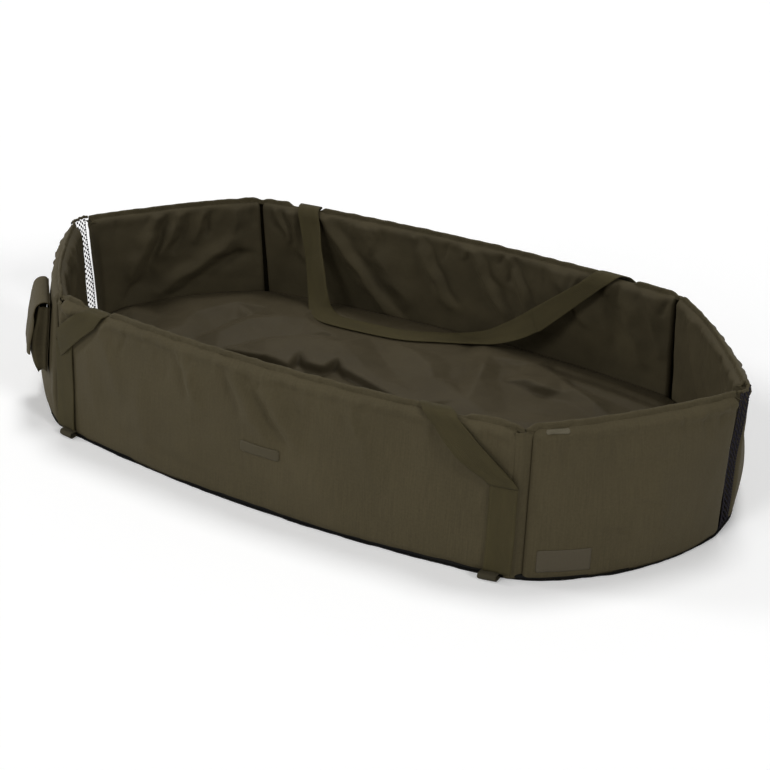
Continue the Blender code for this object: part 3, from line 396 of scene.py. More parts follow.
def hook_tape(name):
    tape = Finish(name, 0.85, 0.25, sheen=0.2)
    fuzz = tape.node("ShaderNodeTexVoronoi", None, {"Vector": tape.places("Object"), "Scale": 900.0})
    tape.colour(fuzz * 1.4, PILE_BROWN)
    tape.relief(fuzz, 0.0006)
    return tape.material


def soft_rubber(name):
    rubber = Finish(name, 0.6, 0.15)
    spots = rubber.places("Object")
    haze = rubber.noise(spots, 60.0, 3.0)
    grain = rubber.noise(spots, 1800.0)
    rubber.colour(haze, RUBBER_OLIVE)
    rubber.put("Roughness", 0.55 + haze * 0.14)
    rubber.relief(grain, 0.00008)
    return rubber.material


FINISH = {
    "outer_nylon": oxford("outer_nylon_cloth", OUTER_OLIVE, 0.72),
    "lining_nylon": coated("lining_nylon_cloth", LINING_OLIVE, 0.6),
    "binding_tape": oxford("binding_tape_cloth", OUTER_OLIVE, 0.72, 0.4),
    "wall_foam": plain_foam("wall_foam_cells", WALL_FOAM),
    "floor_foam": plain_foam("floor_foam_cells", FLOOR_FOAM),
    "net": net_thread("net_thread"),
    "black_base": black_cloth("black_base_cloth"),
    "mat_fabric": coated("mat_cloth", MAT_OLIVE, 0.6),
    "cover_fabric": coated("cover_cloth", COVER_OLIVE, 0.58, 0.08),
    "webbing": ribbed("webbing_weave", WEBBING_OLIVE, 0.75, stitches=True),
    "peg_webbing": ribbed("peg_webbing_weave", PEG_OLIVE, 0.7, 0.0013),
    "hook_tape": hook_tape("hook_and_loop_pile"),
    "badge_rubber": soft_rubber("badge_soft_rubber"),
    "label_fabric": oxford("label_cloth", LABEL_OLIVE, 0.6, 0.2, 0.0001),
    "tab_webbing": ribbed("tab_weave", TAB_SAND, 0.6, 0.0012),
}


# Making meshes

def laid_out(*parts):
    """Points or cloth coordinates from their parts."""
    return np.stack(np.broadcast_arrays(*parts), -1)


def make_piece(name, points, faces, finish, body="crib", uv=None, replaces=()):
    """Mesh piece of the mat that rides on a body and may stand for solids of the frame."""
    mesh = bpy.data.meshes.new(name)
    mesh.from_pydata(np.asarray(points, float).tolist(), [], faces)
    if uv is not None:
        layer = mesh.uv_layers.new(name="cloth")
        corner = np.zeros(len(mesh.loops), np.int32)
        mesh.loops.foreach_get("vertex_index", corner)
        layer.data.foreach_set("uv", np.asarray(uv, np.float32)[corner].ravel())
    mesh.shade_smooth()
    mesh.materials.append(FINISH[finish])
    mesh.validate()
    piece = bpy.data.objects.new(name, mesh)
    bpy.context.collection.objects.link(piece)
    if body:
        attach(piece, body)
    if replaces:
        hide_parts(*replaces)
    return piece


def grid_quads(rows, columns, start=0, flipped=False):
    """Faces of a grid of points."""
    a = start + np.arange(rows - 1)[:, None] * columns + np.arange(columns - 1)[None, :]
    corners = [a, a + columns, a + columns + 1, a + 1]
    if flipped:
        corners.reverse()
    return np.stack(corners, -1).reshape(-1, 4).tolist()


def grid_border(rows, columns):
    """Points round the edge of a grid, in order."""
    numbers = np.arange(rows * columns).reshape(rows, columns)
    sides = (numbers[:, 0], numbers[-1, 1:], numbers[-2::-1, -1], numbers[0, -2:0:-1])
    return np.concatenate(sides).tolist()


def grid_normals(grid):
    """Directions square to a grid of points."""
    down = np.gradient(grid, axis=0)
    along = np.gradient(grid, axis=1)
    normal = np.cross(down, along)
    return normal / np.maximum(np.linalg.norm(normal, axis=2, keepdims=True), 1e-12)


def closed_piece(name, front, back, finish, uv=None, **settings):
    """Closed piece between a front and a back grid of points."""
    rows, columns = front.shape[:2]
    size = rows * columns
    faces = grid_quads(rows, columns) + grid_quads(rows, columns, size, True)
    ring = grid_border(rows, columns)
    faces += [(b, a, a + size, b + size) for a, b in zip(ring, ring[1:] + ring[:1])]
    points = np.concatenate([front.reshape(-1, 3), back.reshape(-1, 3)])
    if uv is not None:
        uv = np.tile(uv.reshape(-1, 2), (2, 1))
    return make_piece(name, points, faces, finish, uv=uv, **settings)


def cloth_piece(name, grid, uv, thickness, finish, **settings):
    """Closed thin piece of cloth behind a grid of points."""
    return closed_piece(name, grid, grid - grid_normals(grid) * thickness, finish, uv, **settings)


def ring_quads(count, layers, closed=False):
    """Faces between layers of points that each run once round; closed ones join the last to the first."""
    a = np.arange(count)
    b = (a + 1) % count
    faces = []
    for k in range(layers if closed else layers - 1):
        low, high = k * count, (k + 1) % layers * count
        faces += np.stack([a + low, b + low, b + high, a + high], -1).tolist()
    return faces


def swept_piece(name, grid, uv, finish, **settings):
    """Closed piece of sections in a row, each a closed ring of points."""
    count, ring = grid.shape[:2]
    faces = []
    for k in range(ring):
        n = (k + 1) % ring
        a = np.arange(count - 1) * ring
        faces += np.stack([a + k, a + ring + k, a + ring + n, a + n], -1).tolist()
    faces.append(list(range(ring)))
    faces.append([(count - 1) * ring + k for k in reversed(range(ring))])
    return make_piece(name, grid.reshape(-1, 3), faces, finish, uv=uv.reshape(-1, 2), **settings)


# Cloth shapes

def soft_step(value, low, high):
    """0 up to low, 1 from high on, and a soft step between them."""
    t = np.clip((value - low) / (high - low), 0, 1)
    return t * t * (3 - 2 * t)


def drift(u, v, size, seed):
    """Gentle unevenness of cloth from about -1 to 1, in waves of about one size."""
    rng = np.random.default_rng(seed)
    total = 0
    turns, phases, stretches = rng.uniform(0, 6.28, 9), rng.uniform(0, 6.28, 9), rng.uniform(0.6, 1.6, 9)
    for turn, phase, stretch in zip(turns, phases, stretches):
        k = 2 * math.pi / (size * stretch)
        total = total + np.sin(k * (u * math.cos(turn) + v * math.sin(turn)) + phase)
    return total / 5


def placed(folds):
    """Folds for creases() from rows of listed ones: start, end, width and height in mm, and lean."""
    return [((a / 1000, b / 1000), (c / 1000, d / 1000), width / 1000, height / 1000, lean)
            for a, b, c, d, width, height, lean in folds]


def creases(u, v, lines, gain):
    """Height of listed folds: start, end, width, height and lean of each."""
    u = u + 0.0035 * drift(u, v, 0.05, 3)
    v = v + 0.0035 * drift(u, v, 0.05, 4)
    total = np.zeros(np.broadcast(u, v).shape)
    for (u0, v0), (u1, v1), width, height, lean in lines:
        du, dv = u1 - u0, v1 - v0
        run = math.hypot(du, dv)
        t = ((u - u0) * du + (v - v0) * dv) / run ** 2
        on = np.clip(t, 0, 1)
        away = np.hypot(u - u0 - on * du, v - v0 - on * dv)
        side = ((u - u0) * dv - (v - v0) * du) / run
        spread = width * (1 + lean * np.tanh(side / width * 2))
        taper = np.sin(np.pi * np.clip((t + 0.2) / 1.4, 0, 1)) ** 0.8
        total += height * taper * np.exp(-(away / spread) ** 1.6)
    return total * gain


def smooth_rows(rows, step):
    """Even rows along a smooth curve through given rows of numbers, the first three a place."""
    rows = np.asarray(rows, float)
    padded = np.concatenate([2 * rows[:1] - rows[1:2], rows, 2 * rows[-1:] - rows[-2:-1]])
    fine = []
    for k in range(len(rows) - 1):
        p, q, r, s = padded[k:k + 4]
        for t in np.linspace(0, 1, 16, endpoint=False):
            fine.append((2 * q + (r - p) * t + (2 * p - 5 * q + 4 * r - s) * t ** 2
                         + (3 * q - p - 3 * r + s) * t ** 3) / 2)
    fine.append(rows[-1])
    fine = np.array(fine)
    run = np.concatenate([[0], np.cumsum(np.linalg.norm(np.diff(fine[:, :3], axis=0), axis=1))])
    even = np.linspace(0, run[-1], int(run[-1] / step) + 1)
    return np.stack([np.interp(even, run, fine[:, k]) for k in range(fine.shape[1])], -1), even


def lean_out(points):
    """Points with the tips leaning out towards the rim, and the rim drawn down by the near left strap."""
    x, y, z = np.moveaxis(np.array(points), -1, 0)
    by_strap = np.exp(-((x - CROSSINGS[0] - NEAR_LEFT_SHIFT) / 0.030) ** 2) * (y < 0)
    z = z - NEAR_LEFT_SAG * by_strap * soft_step(z, 0.13, 0.21)
    near_tip = soft_step(np.abs(x), 0.50, 0.585)
    x = x + np.sign(x) * TIP_LEAN * near_tip * np.clip(z / WALL_HEIGHT, 0, 1) ** 2
    return np.stack([x, y, z], -1)


def wall_foot(wall, along):
    """Height of the lower edge of a wall's outer cloth."""
    if wall.name != "near_side":
        return 0.0020 + 0.0006 * drift(along, 0, 0.06, 12)
    return 0.0022 + 0.0026 * soft_step(along, 0.15, 0.72) + 0.0007 * drift(along, 0, 0.05, 13)


def puckers(length, top, spacing, reach, height, seed, start=0.02):
    """Short pulls that run away from a seam at a height, as folds for creases()."""
    rng = np.random.default_rng(seed)
    lines = []
    place = start
    while place < length - start:
        drop = reach * rng.uniform(0.5, 1.4)
        slant = rng.uniform(-0.35, 0.35) * drop
        lines.append(((place, top), (place + slant, top - drop), 0.004 * rng.uniform(0.7, 1.5),
                      height * rng.uniform(-1.0, 1.0), rng.uniform(-0.4, 0.4)))
        place += spacing * rng.uniform(0.6, 1.5)
    return lines


# Walls

class Wall:
    """Padded wall between two corners, bowed outwards, with its outside on the right."""

    def __init__(self, name, start, finish, bows, tip_start=False, tip_finish=False):
        self.name = name
        self.seed = sum(map(ord, name))
        self.ends = (np.array(start), np.array(finish))
        self.bows = bows
        self.tips = (tip_start, tip_finish)
        rim = self.ends[1][[0, 2]] - self.ends[0][[0, 2]]
        self.length = float(np.hypot(*rim))
        self.first = 0 if tip_start else FOLD_SETBACK
        self.last = self.length if tip_finish else self.length - FOLD_SETBACK

    def arc(self, level, share):
        """Points and outward directions along the arc at the base (0) or the rim (1)."""
        start = self.ends[0][[0, 1 + level]]
        finish = self.ends[1][[0, 1 + level]]
        bow = self.bows[level]
        chord = finish - start
        span = float(np.hypot(*chord))
        along = chord / span
        out = np.array([along[1], -along[0]])
        radius = (span ** 2 / 4 + bow ** 2) / (2 * bow)
        turn = (2 * share - 1) * math.asin(span / (2 * radius))
        way = np.cos(turn)[..., None] * out + np.sin(turn)[..., None] * along
        centre = (start + finish) / 2 - out * (radius - bow)
        return centre + way * radius, way

    def at(self, along, height, depth):
        """Points at a distance along, a height and a depth behind the outer face."""
        along, height, depth = np.broadcast_arrays(*(np.asarray(a, float) for a in (along, height, depth)))
        share = along / self.length
        rise = height / WALL_HEIGHT
        base, base_out = self.arc(0, share)
        rim, rim_out = self.arc(1, share)
        spot = base + (rim - base) * rise[..., None]
        out = base_out + (rim_out - base_out) * rise[..., None]
        out /= np.linalg.norm(out, axis=-1, keepdims=True)
        way = -out
        for tip, near_tip in ((self.tips[0], 1 - share * 5), (self.tips[1], share * 5 - 4)):
            if tip:
                square = np.stack([-1 / out[..., 0], np.zeros_like(share)], -1)
                way = way + (square - way) * np.clip(near_tip, 0, 1)[..., None]
        spot = spot + way * depth[..., None]
        return np.concatenate([spot, height[..., None]], -1)

    def crown(self, along, height):
        """How far the padding swells at a place."""
        up = np.clip((height - WALL_FOOT) / (HEM_FOOT - WALL_FOOT), 0, 1)
        across = np.clip(np.abs(2 * (along - self.first) / (self.last - self.first) - 1), 0, 1)
        share = 1.0 if any(self.tips) else 0.85
        return SWELL * up * (1 - up) * (1 - np.clip(across / share, 0, 1) ** 4)

    def belly(self, along, height):
        """Slack of the lower part of two ends, whose padding has slumped outwards."""
        if self.name not in SLUMPS:
            return 0.0
        middle, level, depth = SLUMPS[self.name]
        away = ((along - middle) / SLUMP_LENGTH) ** 2 + ((height - level) / SLUMP_HEIGHT) ** 2
        return depth * np.exp(-away) * (1 - pocket_press(self, along) * soft_step(height, *HOLD_HEIGHTS))


def make_walls():
    """The six walls by name, in order round the mat."""
    half_tip = TIP_OPENING / 2
    fold = {(end, side): (end * FOLD_X, side * BASE_WIDTH / 2, side * RIM_WIDTH / 2)
            for end in (-1, 1) for side in (-1, 1)}
    tip = {(end, side): (end * HALF_LENGTH, side * half_tip, side * half_tip)
           for end in (-1, 1) for side in (-1, 1)}
    walls = (
        Wall("near_side", fold[-1, -1], fold[1, -1], NEAR_BOWS),
        Wall("near_right_end", fold[1, -1], tip[1, -1], END_BOWS, tip_finish=True),
        Wall("far_right_end", tip[1, 1], fold[1, 1], END_BOWS, tip_start=True),
        Wall("far_side", fold[1, 1], fold[-1, 1], FAR_BOWS),
        Wall("far_left_end", fold[-1, 1], tip[-1, 1], END_BOWS, tip_finish=True),
        Wall("near_left_end", tip[-1, -1], fold[-1, -1], END_BOWS, tip_start=True),
    )
    return {wall.name: wall for wall in walls}


WALLS = make_walls()

# Folds of each wall's outer cloth and lining, as placed() takes them
OUTER_FOLDS = {
    "near_side": (
        (2, 206, 30, 176, 6, 2.6, 0.3), (4, 192, 34, 160, 5, -2.4, 0), (12, 212, 58, 190, 6, 2.4, 0.3),
        (0, 170, 18, 140, 6, 2, 0.3), (268, 196, 300, 128, 15, 2.8, 0.3),
        (356, 194, 420, 112, 15, 3.4, 0.3), (398, 196, 470, 122, 14, 3.2, 0.3),
        (335, 192, 372, 140, 10, -2.2, 0), (379, 192, 446, 118, 9, -3, 0),
        (252, 190, 276, 142, 9, -2.2, 0), (436, 194, 486, 140, 10, -1.8, 0),
        (100, 194, 146, 110, 22, 2.6, 0.2), (70, 160, 90, 60, 26, 2.2, 0.2),
        (180, 140, 196, 30, 26, 2.2, 0.2), (215, 194, 234, 156, 10, -1.8, 0),
        (540, 194, 590, 100, 22, 2.4, 0.2), (520, 194, 548, 150, 9, -1.6, 0),
        (610, 190, 640, 120, 18, -1.8, 0), (480, 90, 560, 30, 30, 1.8, 0),
        (704, 194, 735, 165, 8, -2.8, 0.2), (722, 196, 758, 146, 12, 3.2, 0.3),
        (300, 60, 420, 30, 26, -1.6, 0), (150, 50, 330, 22, 12, -1.2, 0),
    ),
    "near_right_end": (
        (70, 165, 140, 150, 12, -1.2, 0.3), (150, 158, 200, 152, 7, -1.3, 0.3),
        (110, 66, 150, 60, 6, -1.2, 0.3), (160, 94, 185, 90, 6, -1.2, 0.3),
        (125, 132, 165, 128, 8, -1, 0.3), (175, 180, 190, 40, 28, 2.2, 0),
        (40, 190, 55, 150, 10, 1.6, 0.2),
    ),
    "near_left_end": (
        (190, 190, 210, 100, 14, 2, 0.2), (240, 180, 280, 50, 20, 2, 0),
    ),
    "far_right_end": (
        (100, 180, 140, 60, 25, 2, 0.2), (200, 190, 230, 120, 12, 2, 0),
    ),
    "far_left_end": (
        (100, 180, 130, 60, 25, 2, 0.2), (220, 190, 200, 120, 12, 2, 0),
    ),
    "far_side": (
        (150, 190, 190, 120, 12, 2.2, 0.3), (300, 190, 330, 100, 14, 2.4, 0.3),
        (460, 190, 420, 110, 13, 2.2, 0.3), (600, 190, 640, 130, 12, 2.2, 0.3),
    ),
}
LINING_FOLDS = {
    "far_left_end": (
        (192, 205, 252, 100, 14, 5, 0.4), (172, 203, 215, 110, 9, -3.6, 0),
        (150, 203, 190, 135, 12, 4.6, 0.4), (135, 200, 165, 140, 7, -3.4, 0),
        (60, 145, 200, 58, 20, 6.6, 0.4), (52, 120, 175, 50, 13, -5, 0), (108, 200, 128, 150, 8, 3, 0.2),
        (94, 200, 108, 160, 6, -2.2, 0.2), (50, 200, 58, 160, 7, 2.6, 0.2),
        (210, 100, 262, 60, 14, -4, 0.2), (30, 120, 90, 110, 10, -2, 0.2),
    ),
    "far_side": (
        (752, 205, 730, 150, 7, 3, 0.3), (740, 205, 716, 150, 6, -2.8, 0),
        (724, 205, 700, 120, 8, 3.2, 0.3), (706, 205, 688, 150, 6, -2.6, 0),
        (660, 205, 540, 50, 14, 5, 0.4), (640, 205, 515, 55, 12, -4.6, 0),
        (585, 200, 500, 80, 16, 4.2, 0.4), (478, 205, 420, 90, 14, 4.6, 0.4),
        (462, 205, 405, 100, 9, -3.8, 0), (372, 205, 305, 85, 13, 4.6, 0.4),
        (356, 205, 292, 95, 8, -3.8, 0), (305, 205, 250, 95, 12, 4, 0.4), (292, 205, 240, 110, 8, -3.6, 0),
        (222, 205, 165, 130, 12, 3.6, 0.4), (130, 180, 100, 90, 16, -3.4, 0.2),
        (100, 195, 60, 90, 14, 3.2, 0.4), (58, 205, 24, 110, 10, 2.8, 0.3),
        (540, 200, 560, 150, 10, -2, 0.2),
    ),
    "far_right_end": (
        (250, 200, 200, 90, 16, 3, 0.4), (200, 200, 150, 110, 14, 2.6, 0.4),
        (120, 195, 90, 80, 16, -2.6, 0.2),
    ),
    "near_side": (
        (200, 205, 250, 110, 12, 4, 0.4), (330, 205, 300, 120, 11, 3.6, 0.4),
        (450, 205, 500, 90, 14, 4.4, 0.4), (470, 205, 515, 110, 8, -3.4, 0),
        (590, 205, 560, 120, 11, 3.6, 0.4), (700, 205, 730, 120, 11, 3.4, 0.4),
        (110, 205, 80, 110, 11, 3.4, 0.4),
    ),
    "near_right_end": (
        (80, 200, 130, 100, 14, 3.4, 0.4), (200, 200, 160, 110, 12, 3, 0.4),
        (240, 195, 270, 80, 14, -2.6, 0.2),
    ),
    "near_left_end": (
        (80, 200, 120, 100, 14, 3.4, 0.4), (190, 200, 160, 110, 12, 3, 0.4),
        (250, 195, 230, 80, 12, -2.8, 0.2),
    ),
}


def rim_crossing(wall, end):
    """Where the middle of a band crosses the rim of a side wall."""
    return CROSSINGS[end] + (NEAR_LEFT_SHIFT if wall.name == "near_side" and not end else 0)


def strap_centre(wall, end, height):
    """Middle of the slanting strap along X at a height of a side wall's outer face."""
    t = np.clip((height - SEWN_HEIGHTS[end]) / (WALL_HEIGHT - SEWN_HEIGHTS[end]), 0, 1)
    return STRIPS[end] + (rim_crossing(wall, end) - STRIPS[end]) * t


def strap_press(wall, x, height):
    """1 where a strap holds the cloth of a side wall down, 0 away from it."""
    if any(wall.tips):
        return np.zeros(np.broadcast(x, height).shape)
    total = 0
    for end in (0, 1):
        half = np.where(height > SEWN_HEIGHTS[end] + 0.02, CROSSING_WIDTH, WEBBING_WIDTH) / 2
        away = np.abs(x - strap_centre(wall, end, height))
        total = total + 1 - soft_step(away, half, half + PRESSED_EDGE)
    return np.clip(total, 0, 1)


def pocket_press(wall, along):
    """1 where the pocket holds the cloth of its wall down, 0 away from it."""
    if wall.name != "near_left_end":
        return np.zeros(np.shape(along))
    return 1 - soft_step(np.abs(along - POCKET_ALONG), *HOLD_SIDES)


def outer_lift(wall, along, height):
    """How far the outer cloth stands out from the wall's flat face."""
    seed = wall.seed
    lines = placed(OUTER_FOLDS[wall.name])
    lines += puckers(wall.length, HEM_FOOT + 0.004, spacing=0.024, reach=0.026, height=0.0014, seed=seed)
    lines += puckers(wall.length, 0.211, spacing=0.015, reach=0.014, height=0.0011, seed=seed + 9,
                     start=0.004)
    x = wall.at(along, height, 0)[..., 0]
    loose = 1 - 0.85 * np.maximum(strap_press(wall, x, height), pocket_press(wall, along))
    bulk = wall.crown(along, height) * 1.1 + 0.0009 * drift(along, height, 0.16, seed)
    bulk = bulk + 0.00035 * drift(along, height, 0.045, seed + 1)
    belly = wall.belly(along, height)
    seam = HEM_FOOT + 0.0035 * drift(along, 0, 0.055, seed + 2)
    hem = -HEM_DIP * np.exp(-((height - seam) / 0.0045) ** 2)
    hem = hem + HEM_RIDGE * np.exp(-((height - seam - 0.011) / 0.007) ** 2)
    foot = wall_foot(wall, along)
    tuck = -FOOT_TUCK * (1 - soft_step(height, foot - 0.001, foot + 0.012)) ** 2
    fade = 1 - soft_step(height, *ROLL_FADE) * 0.6
    stand = (bulk + creases(along, height, lines, 2.5) * loose + hem * loose) * fade
    return np.maximum(stand, wall.crown(along, height) * 0.8 - 0.0029) + belly + tuck


def outer_depth(wall, along, height):
    """Depth of a wall's outer cloth, over its top roll too."""
    heights, depths = np.array(OUTER_ROLL).T
    return np.interp(height, heights, depths, left=0) - outer_lift(wall, along, height)


def lining_lift(wall, along, height):
    """How far the lining stands into the crib from the wall's flat inner face."""
    seed = wall.seed + 5
    lines = placed(LINING_FOLDS[wall.name])
    lines += puckers(wall.length, 0.208, spacing=0.024, reach=0.034, height=0.0022, seed=seed)
    bulk = wall.crown(along, height) * 0.9 + 0.0012 * drift(along, height, 0.12, seed)
    bulk = bulk + 0.0005 * drift(along, height, 0.04, seed + 1)
    up = soft_step(height, WALL_FOOT, WALL_FOOT + 0.05)
    fade = 1 - soft_step(height, *ROLL_FADE)
    gain = 2.3 if wall.name == "far_left_end" else 1.9
    stand = bulk + creases(along, height, lines, gain)
    return np.maximum(stand, wall.crown(along, height) * 0.4 - 0.0066) * up * fade


def side_y(wall, x, height, depth):
    """Y of a side wall's face at an x."""
    way = 1 if wall.name == "near_side" else -1
    along = wall.length / 2 + way * x
    for _ in range(3):
        spot = wall.at(along, height, depth)
        along = along + way * (x - spot[..., 0])
    return float(wall.at(along, height, depth)[..., 1])


# Top roll of the two cloths of a wall: height, and how far the cloth has turned in
OUTER_ROLL = (
    (0.2030, 0.0001), (0.2060, 0.0010), (0.2088, 0.0026),
    (0.2110, 0.0048), (0.2124, 0.0074), (0.2130, 0.0096),
)
LINING_ROLL = (*OUTER_ROLL[:-1], (0.2130, 0.0092))
ROLL_FOOT = 0.1995
STRAIGHT_ROWS = 56

# Folded tape along the rim: height and depth, once round
RIDGE_SECTION = (
    (0.2096, 0.0072), (0.2118, 0.0078), (0.2140, 0.0086), (0.2166, 0.0088), (0.2186, 0.0092),
    (0.2197, 0.0103), (0.2197, 0.0117), (0.2186, 0.0128), (0.2166, 0.0132), (0.2140, 0.0134),
    (0.2118, 0.0142), (0.2096, 0.0148), (0.2104, 0.0130), (0.2110, 0.0110), (0.2104, 0.0090),
)


def wall_columns(wall, step, reach, depths, past=0.0):
    """Places along a wall and how deep its edge has turned in at each column: at a fold and at a tip."""
    low = wall.first - (0 if wall.tips[0] else past)
    high = wall.last + (0 if wall.tips[1] else past)
    count = int((high - low - 2 * reach) / step) + 1
    middle = np.linspace(low + reach, high - reach, count)
    turns = np.linspace(0, math.pi / 2, 8)[1:]
    distance = reach * (1 - np.sin(turns))
    turned = 1 - np.cos(turns)
    along = np.concatenate([(low + distance)[::-1], middle, high - distance])
    ends = [depths[1] if tip else depths[0] for tip in wall.tips]
    deep = np.concatenate([turned[::-1] * ends[0], np.zeros(count), turned * ends[1]])
    edge = 1 - np.concatenate([turned[::-1], np.zeros(count), turned])
    return along, deep, edge


def rolled_cloth(wall, columns, foot, roll, lift, inside):
    """Grid and cloth coordinates of a wall's cloth from its foot up and over the top roll."""
    along, deep, edge = (part[:, None] for part in columns)
    levels, turned_in = np.array(roll).T
    straight = foot[:, None] + (ROLL_FOOT - foot[:, None]) * np.linspace(0, 1, STRAIGHT_ROWS)
    v = np.concatenate([straight, np.broadcast_to(levels, (len(foot), len(levels)))], axis=1)
    u = np.broadcast_to(along, v.shape)
    over = np.concatenate([np.zeros(STRAIGHT_ROWS), turned_in])
    low = (1 - edge) * 0.004 * soft_step(v, 0.19, 0.213)
    depth = deep + over - lift(wall, u, v) * edge
    if inside:
        depth = WALL_THICKNESS - depth
    return lean_out(wall.at(u, v - low, depth)), laid_out(u, v + over)


def add_wall_cloths():
    """Outer cloth, padding and lining of each wall, each cloth rolled over the top to the bound ridge."""
    for name, wall in WALLS.items():
        fold_depth = 0.0012 if "side" in name else 0.0055
        columns = wall_columns(wall, step=0.0036, reach=0.010, depths=(fold_depth, 0.0110))
        grid, uv = rolled_cloth(wall, columns, wall_foot(wall, columns[0]), OUTER_ROLL, outer_lift, False)
        skin = cloth_piece(name + "_outer_cloth", grid, uv, NYLON, "outer_nylon", replaces=[name + "_skin"])
        name + "_padding"

        columns = wall_columns(wall, step=0.0036, reach=0.005, depths=(0.0080, 0.0108), past=0.0045)
        foot = np.full(len(columns[0]), WALL_FOOT)
        grid, uv = rolled_cloth(wall, columns, foot, LINING_ROLL, lining_lift, True)
        lining = cloth_piece(name + "_lining_cloth", grid[::-1], uv[::-1], NYLON, "lining_nylon",
                             replaces=[name + "_lining"])
        name + "_padding"
        add_padding(name, wall)


def add_padding(name, wall):
    """Foam between the two cloths, with rounded edges."""
    along = np.linspace(wall.first + PADDING_INSET, wall.last - PADDING_INSET, int(wall.length / 0.010))
    u, v = np.meshgrid(along, np.linspace(*PADDING_LEVELS, 26), indexing="ij")
    near_end = np.clip(np.minimum(u - wall.first, wall.last - u) / 0.016, 0, 1)
    near_top = np.clip((0.2090 - v) / 0.012, 0, 1)
    thin = PADDING_ROUNDING * (1 - np.sqrt(near_end * near_top))
    front = PADDING_FRONT + thin - wall.crown(u, v) * 0.8 - wall.belly(u, v)
    back = WALL_THICKNESS - PADDING_BACK - thin + wall.crown(u, v) * 0.4
    ring = np.concatenate([wall.at(u, v, front), wall.at(u, v, back)[:, ::-1]], axis=1)
    piece = swept_piece(name + "_padding", lean_out(ring), np.zeros(ring.shape[:2] + (2,)), "wall_foam",
                        replaces=[name + "_foam"])


def add_rims():
    """Crumpled tape folded over the top of each wall, drawn down under the straps and at the folds."""
    heights, depths = np.array(RIDGE_SECTION).T
    upper = soft_step(heights, 0.2110, 0.2180)
    section_run = np.concatenate([[0], np.cumsum(np.hypot(np.diff(heights), np.diff(depths)))])
    for name, wall in WALLS.items():
        start = 0.0 if wall.tips[0] else RIDGE_SETBACK
        finish = wall.length - (0.0 if wall.tips[1] else RIDGE_SETBACK)
        along = np.linspace(start, finish, int((finish - start) / 0.0024))
        to_folds = [gap for gap, tip in zip((along - start, finish - along), wall.tips) if not tip]
        gap = np.minimum.reduce([*to_folds, np.full(len(along), 1.0)])[:, None]
        held = strap_press(wall, wall.at(along, 0.21, 0)[:, 0], np.full(len(along), 0.213))[:, None]
        crumple, ruffle = (
            big * drift(along, 0, LONG_WAVE, seed) + small * drift(along, 0, SHORT_WAVE, seed + 1)
            for big, small, seed in ((0.7, 0.12, wall.seed + 4), (0.8, 0.15, wall.seed + 6)))
        lively = ((0.7 if "end" in name else 0.9) + 1.8 * np.exp(-(gap / 0.026) ** 2)) * (1 - held)
        height = heights - FOLD_DIP * np.exp(-(gap / 0.009) ** 2) * (0.35 + 0.65 * upper)
        height = height + upper * (RUFFLE * ruffle[:, None] * lively - STRAP_DIP * held)
        thick = 1 + 0.30 * drift(along, 0, SHORT_WAVE, wall.seed + 8)[:, None]
        sideways = upper * CRUMPLE * crumple[:, None] * lively
        depth = RIDGE_DEPTH + sideways + (depths - RIDGE_DEPTH) * thick
        grid = lean_out(wall.at(along[:, None], height, depth))
        swept_piece(name + "_ridge_tape", grid, laid_out(along[:, None], 0.5 + section_run), "binding_tape",
                    replaces=[name + "_rim_binding"])


def add_corner_strips():
    """Unpadded strips that join the walls at the four folds, drawn in between the padded edges."""
    order = list(WALLS.values())
    heights = np.linspace(*STRIP_LEVELS, 70)
    t = np.linspace(0, 1, 13)[:, None]
    for first, second in ((0, 1), (2, 3), (3, 4), (5, 0)):
        a, b = order[first], order[second]
        a_depth, b_depth = (0.0011 if "side" in wall.name else 0.0066 for wall in (a, b))
        left = a.at(a.last - STRIP_SEAM, heights, a_depth)
        right = b.at(b.first + STRIP_SEAM, heights, b_depth)
        grid = left[None] * (1 - t[..., None]) + right[None] * t[..., None]
        out = a.at(a.length, heights, 0.0) - (left + right) / 2
        out[:, 2] = 0
        out /= np.linalg.norm(out, axis=1, keepdims=True)
        swell = np.sin(math.pi * (t if "side" in b.name else 1 - t) ** 1.6) ** 1.2
        wave = STRIP_SWELL + 0.0009 * drift(heights, 0, 0.06, first + 20)
        wave = wave + 0.0006 * drift(heights, 0, 0.018, first + 25)
        crumple = 0.0022 * soft_step(heights, 0.180, 0.206) * drift(heights, 0, 0.012, first + 30)
        grid = grid + (swell * (wave + crumple)[None, :])[..., None] * out[None]
        name = a.name if "end" in a.name else b.name
        strip = cloth_piece(name + "_corner_strip", grid, laid_out(t * 0.017, heights), DOUBLED_NYLON,
                            "outer_nylon", replaces=[name + "_corner_web"])


# Base

# Rings of the groundsheet from its lower face round its edge to its upper face: inset and height
GROUND_RINGS = (
    (0.030, 0.0002), (0.004, 0.0002), (0.0014, 0.0006), (0.0010, 0.0010), (0.0014, 0.0015),
    (0.004, 0.0016), (0.030, 0.0015),
)


def outline(height, depth, step):
    """Closed ring of points round the mat at a height and a depth behind the outer faces."""
    ring = []
    for wall in WALLS.values():
        along = np.linspace(wall.first, wall.last, int((wall.last - wall.first) / step))
        ring.append(wall.at(along, height, depth))
    return np.concatenate(ring)


def smooth_ring(points):
    """Closed ring with its corners eased."""
    for _ in range(3):
        points = (np.roll(points, 1, 0) + 2 * points + np.roll(points, -1, 0)) / 4
    return points


def ring_sides(ring):
    """Level directions out of a closed ring of points."""
    tangent = np.roll(ring, -1, 0) - np.roll(ring, 1, 0)
    normal = np.stack([tangent[:, 1], -tangent[:, 0], tangent[:, 2] * 0], -1)
    return normal / np.linalg.norm(normal, axis=1, keepdims=True)


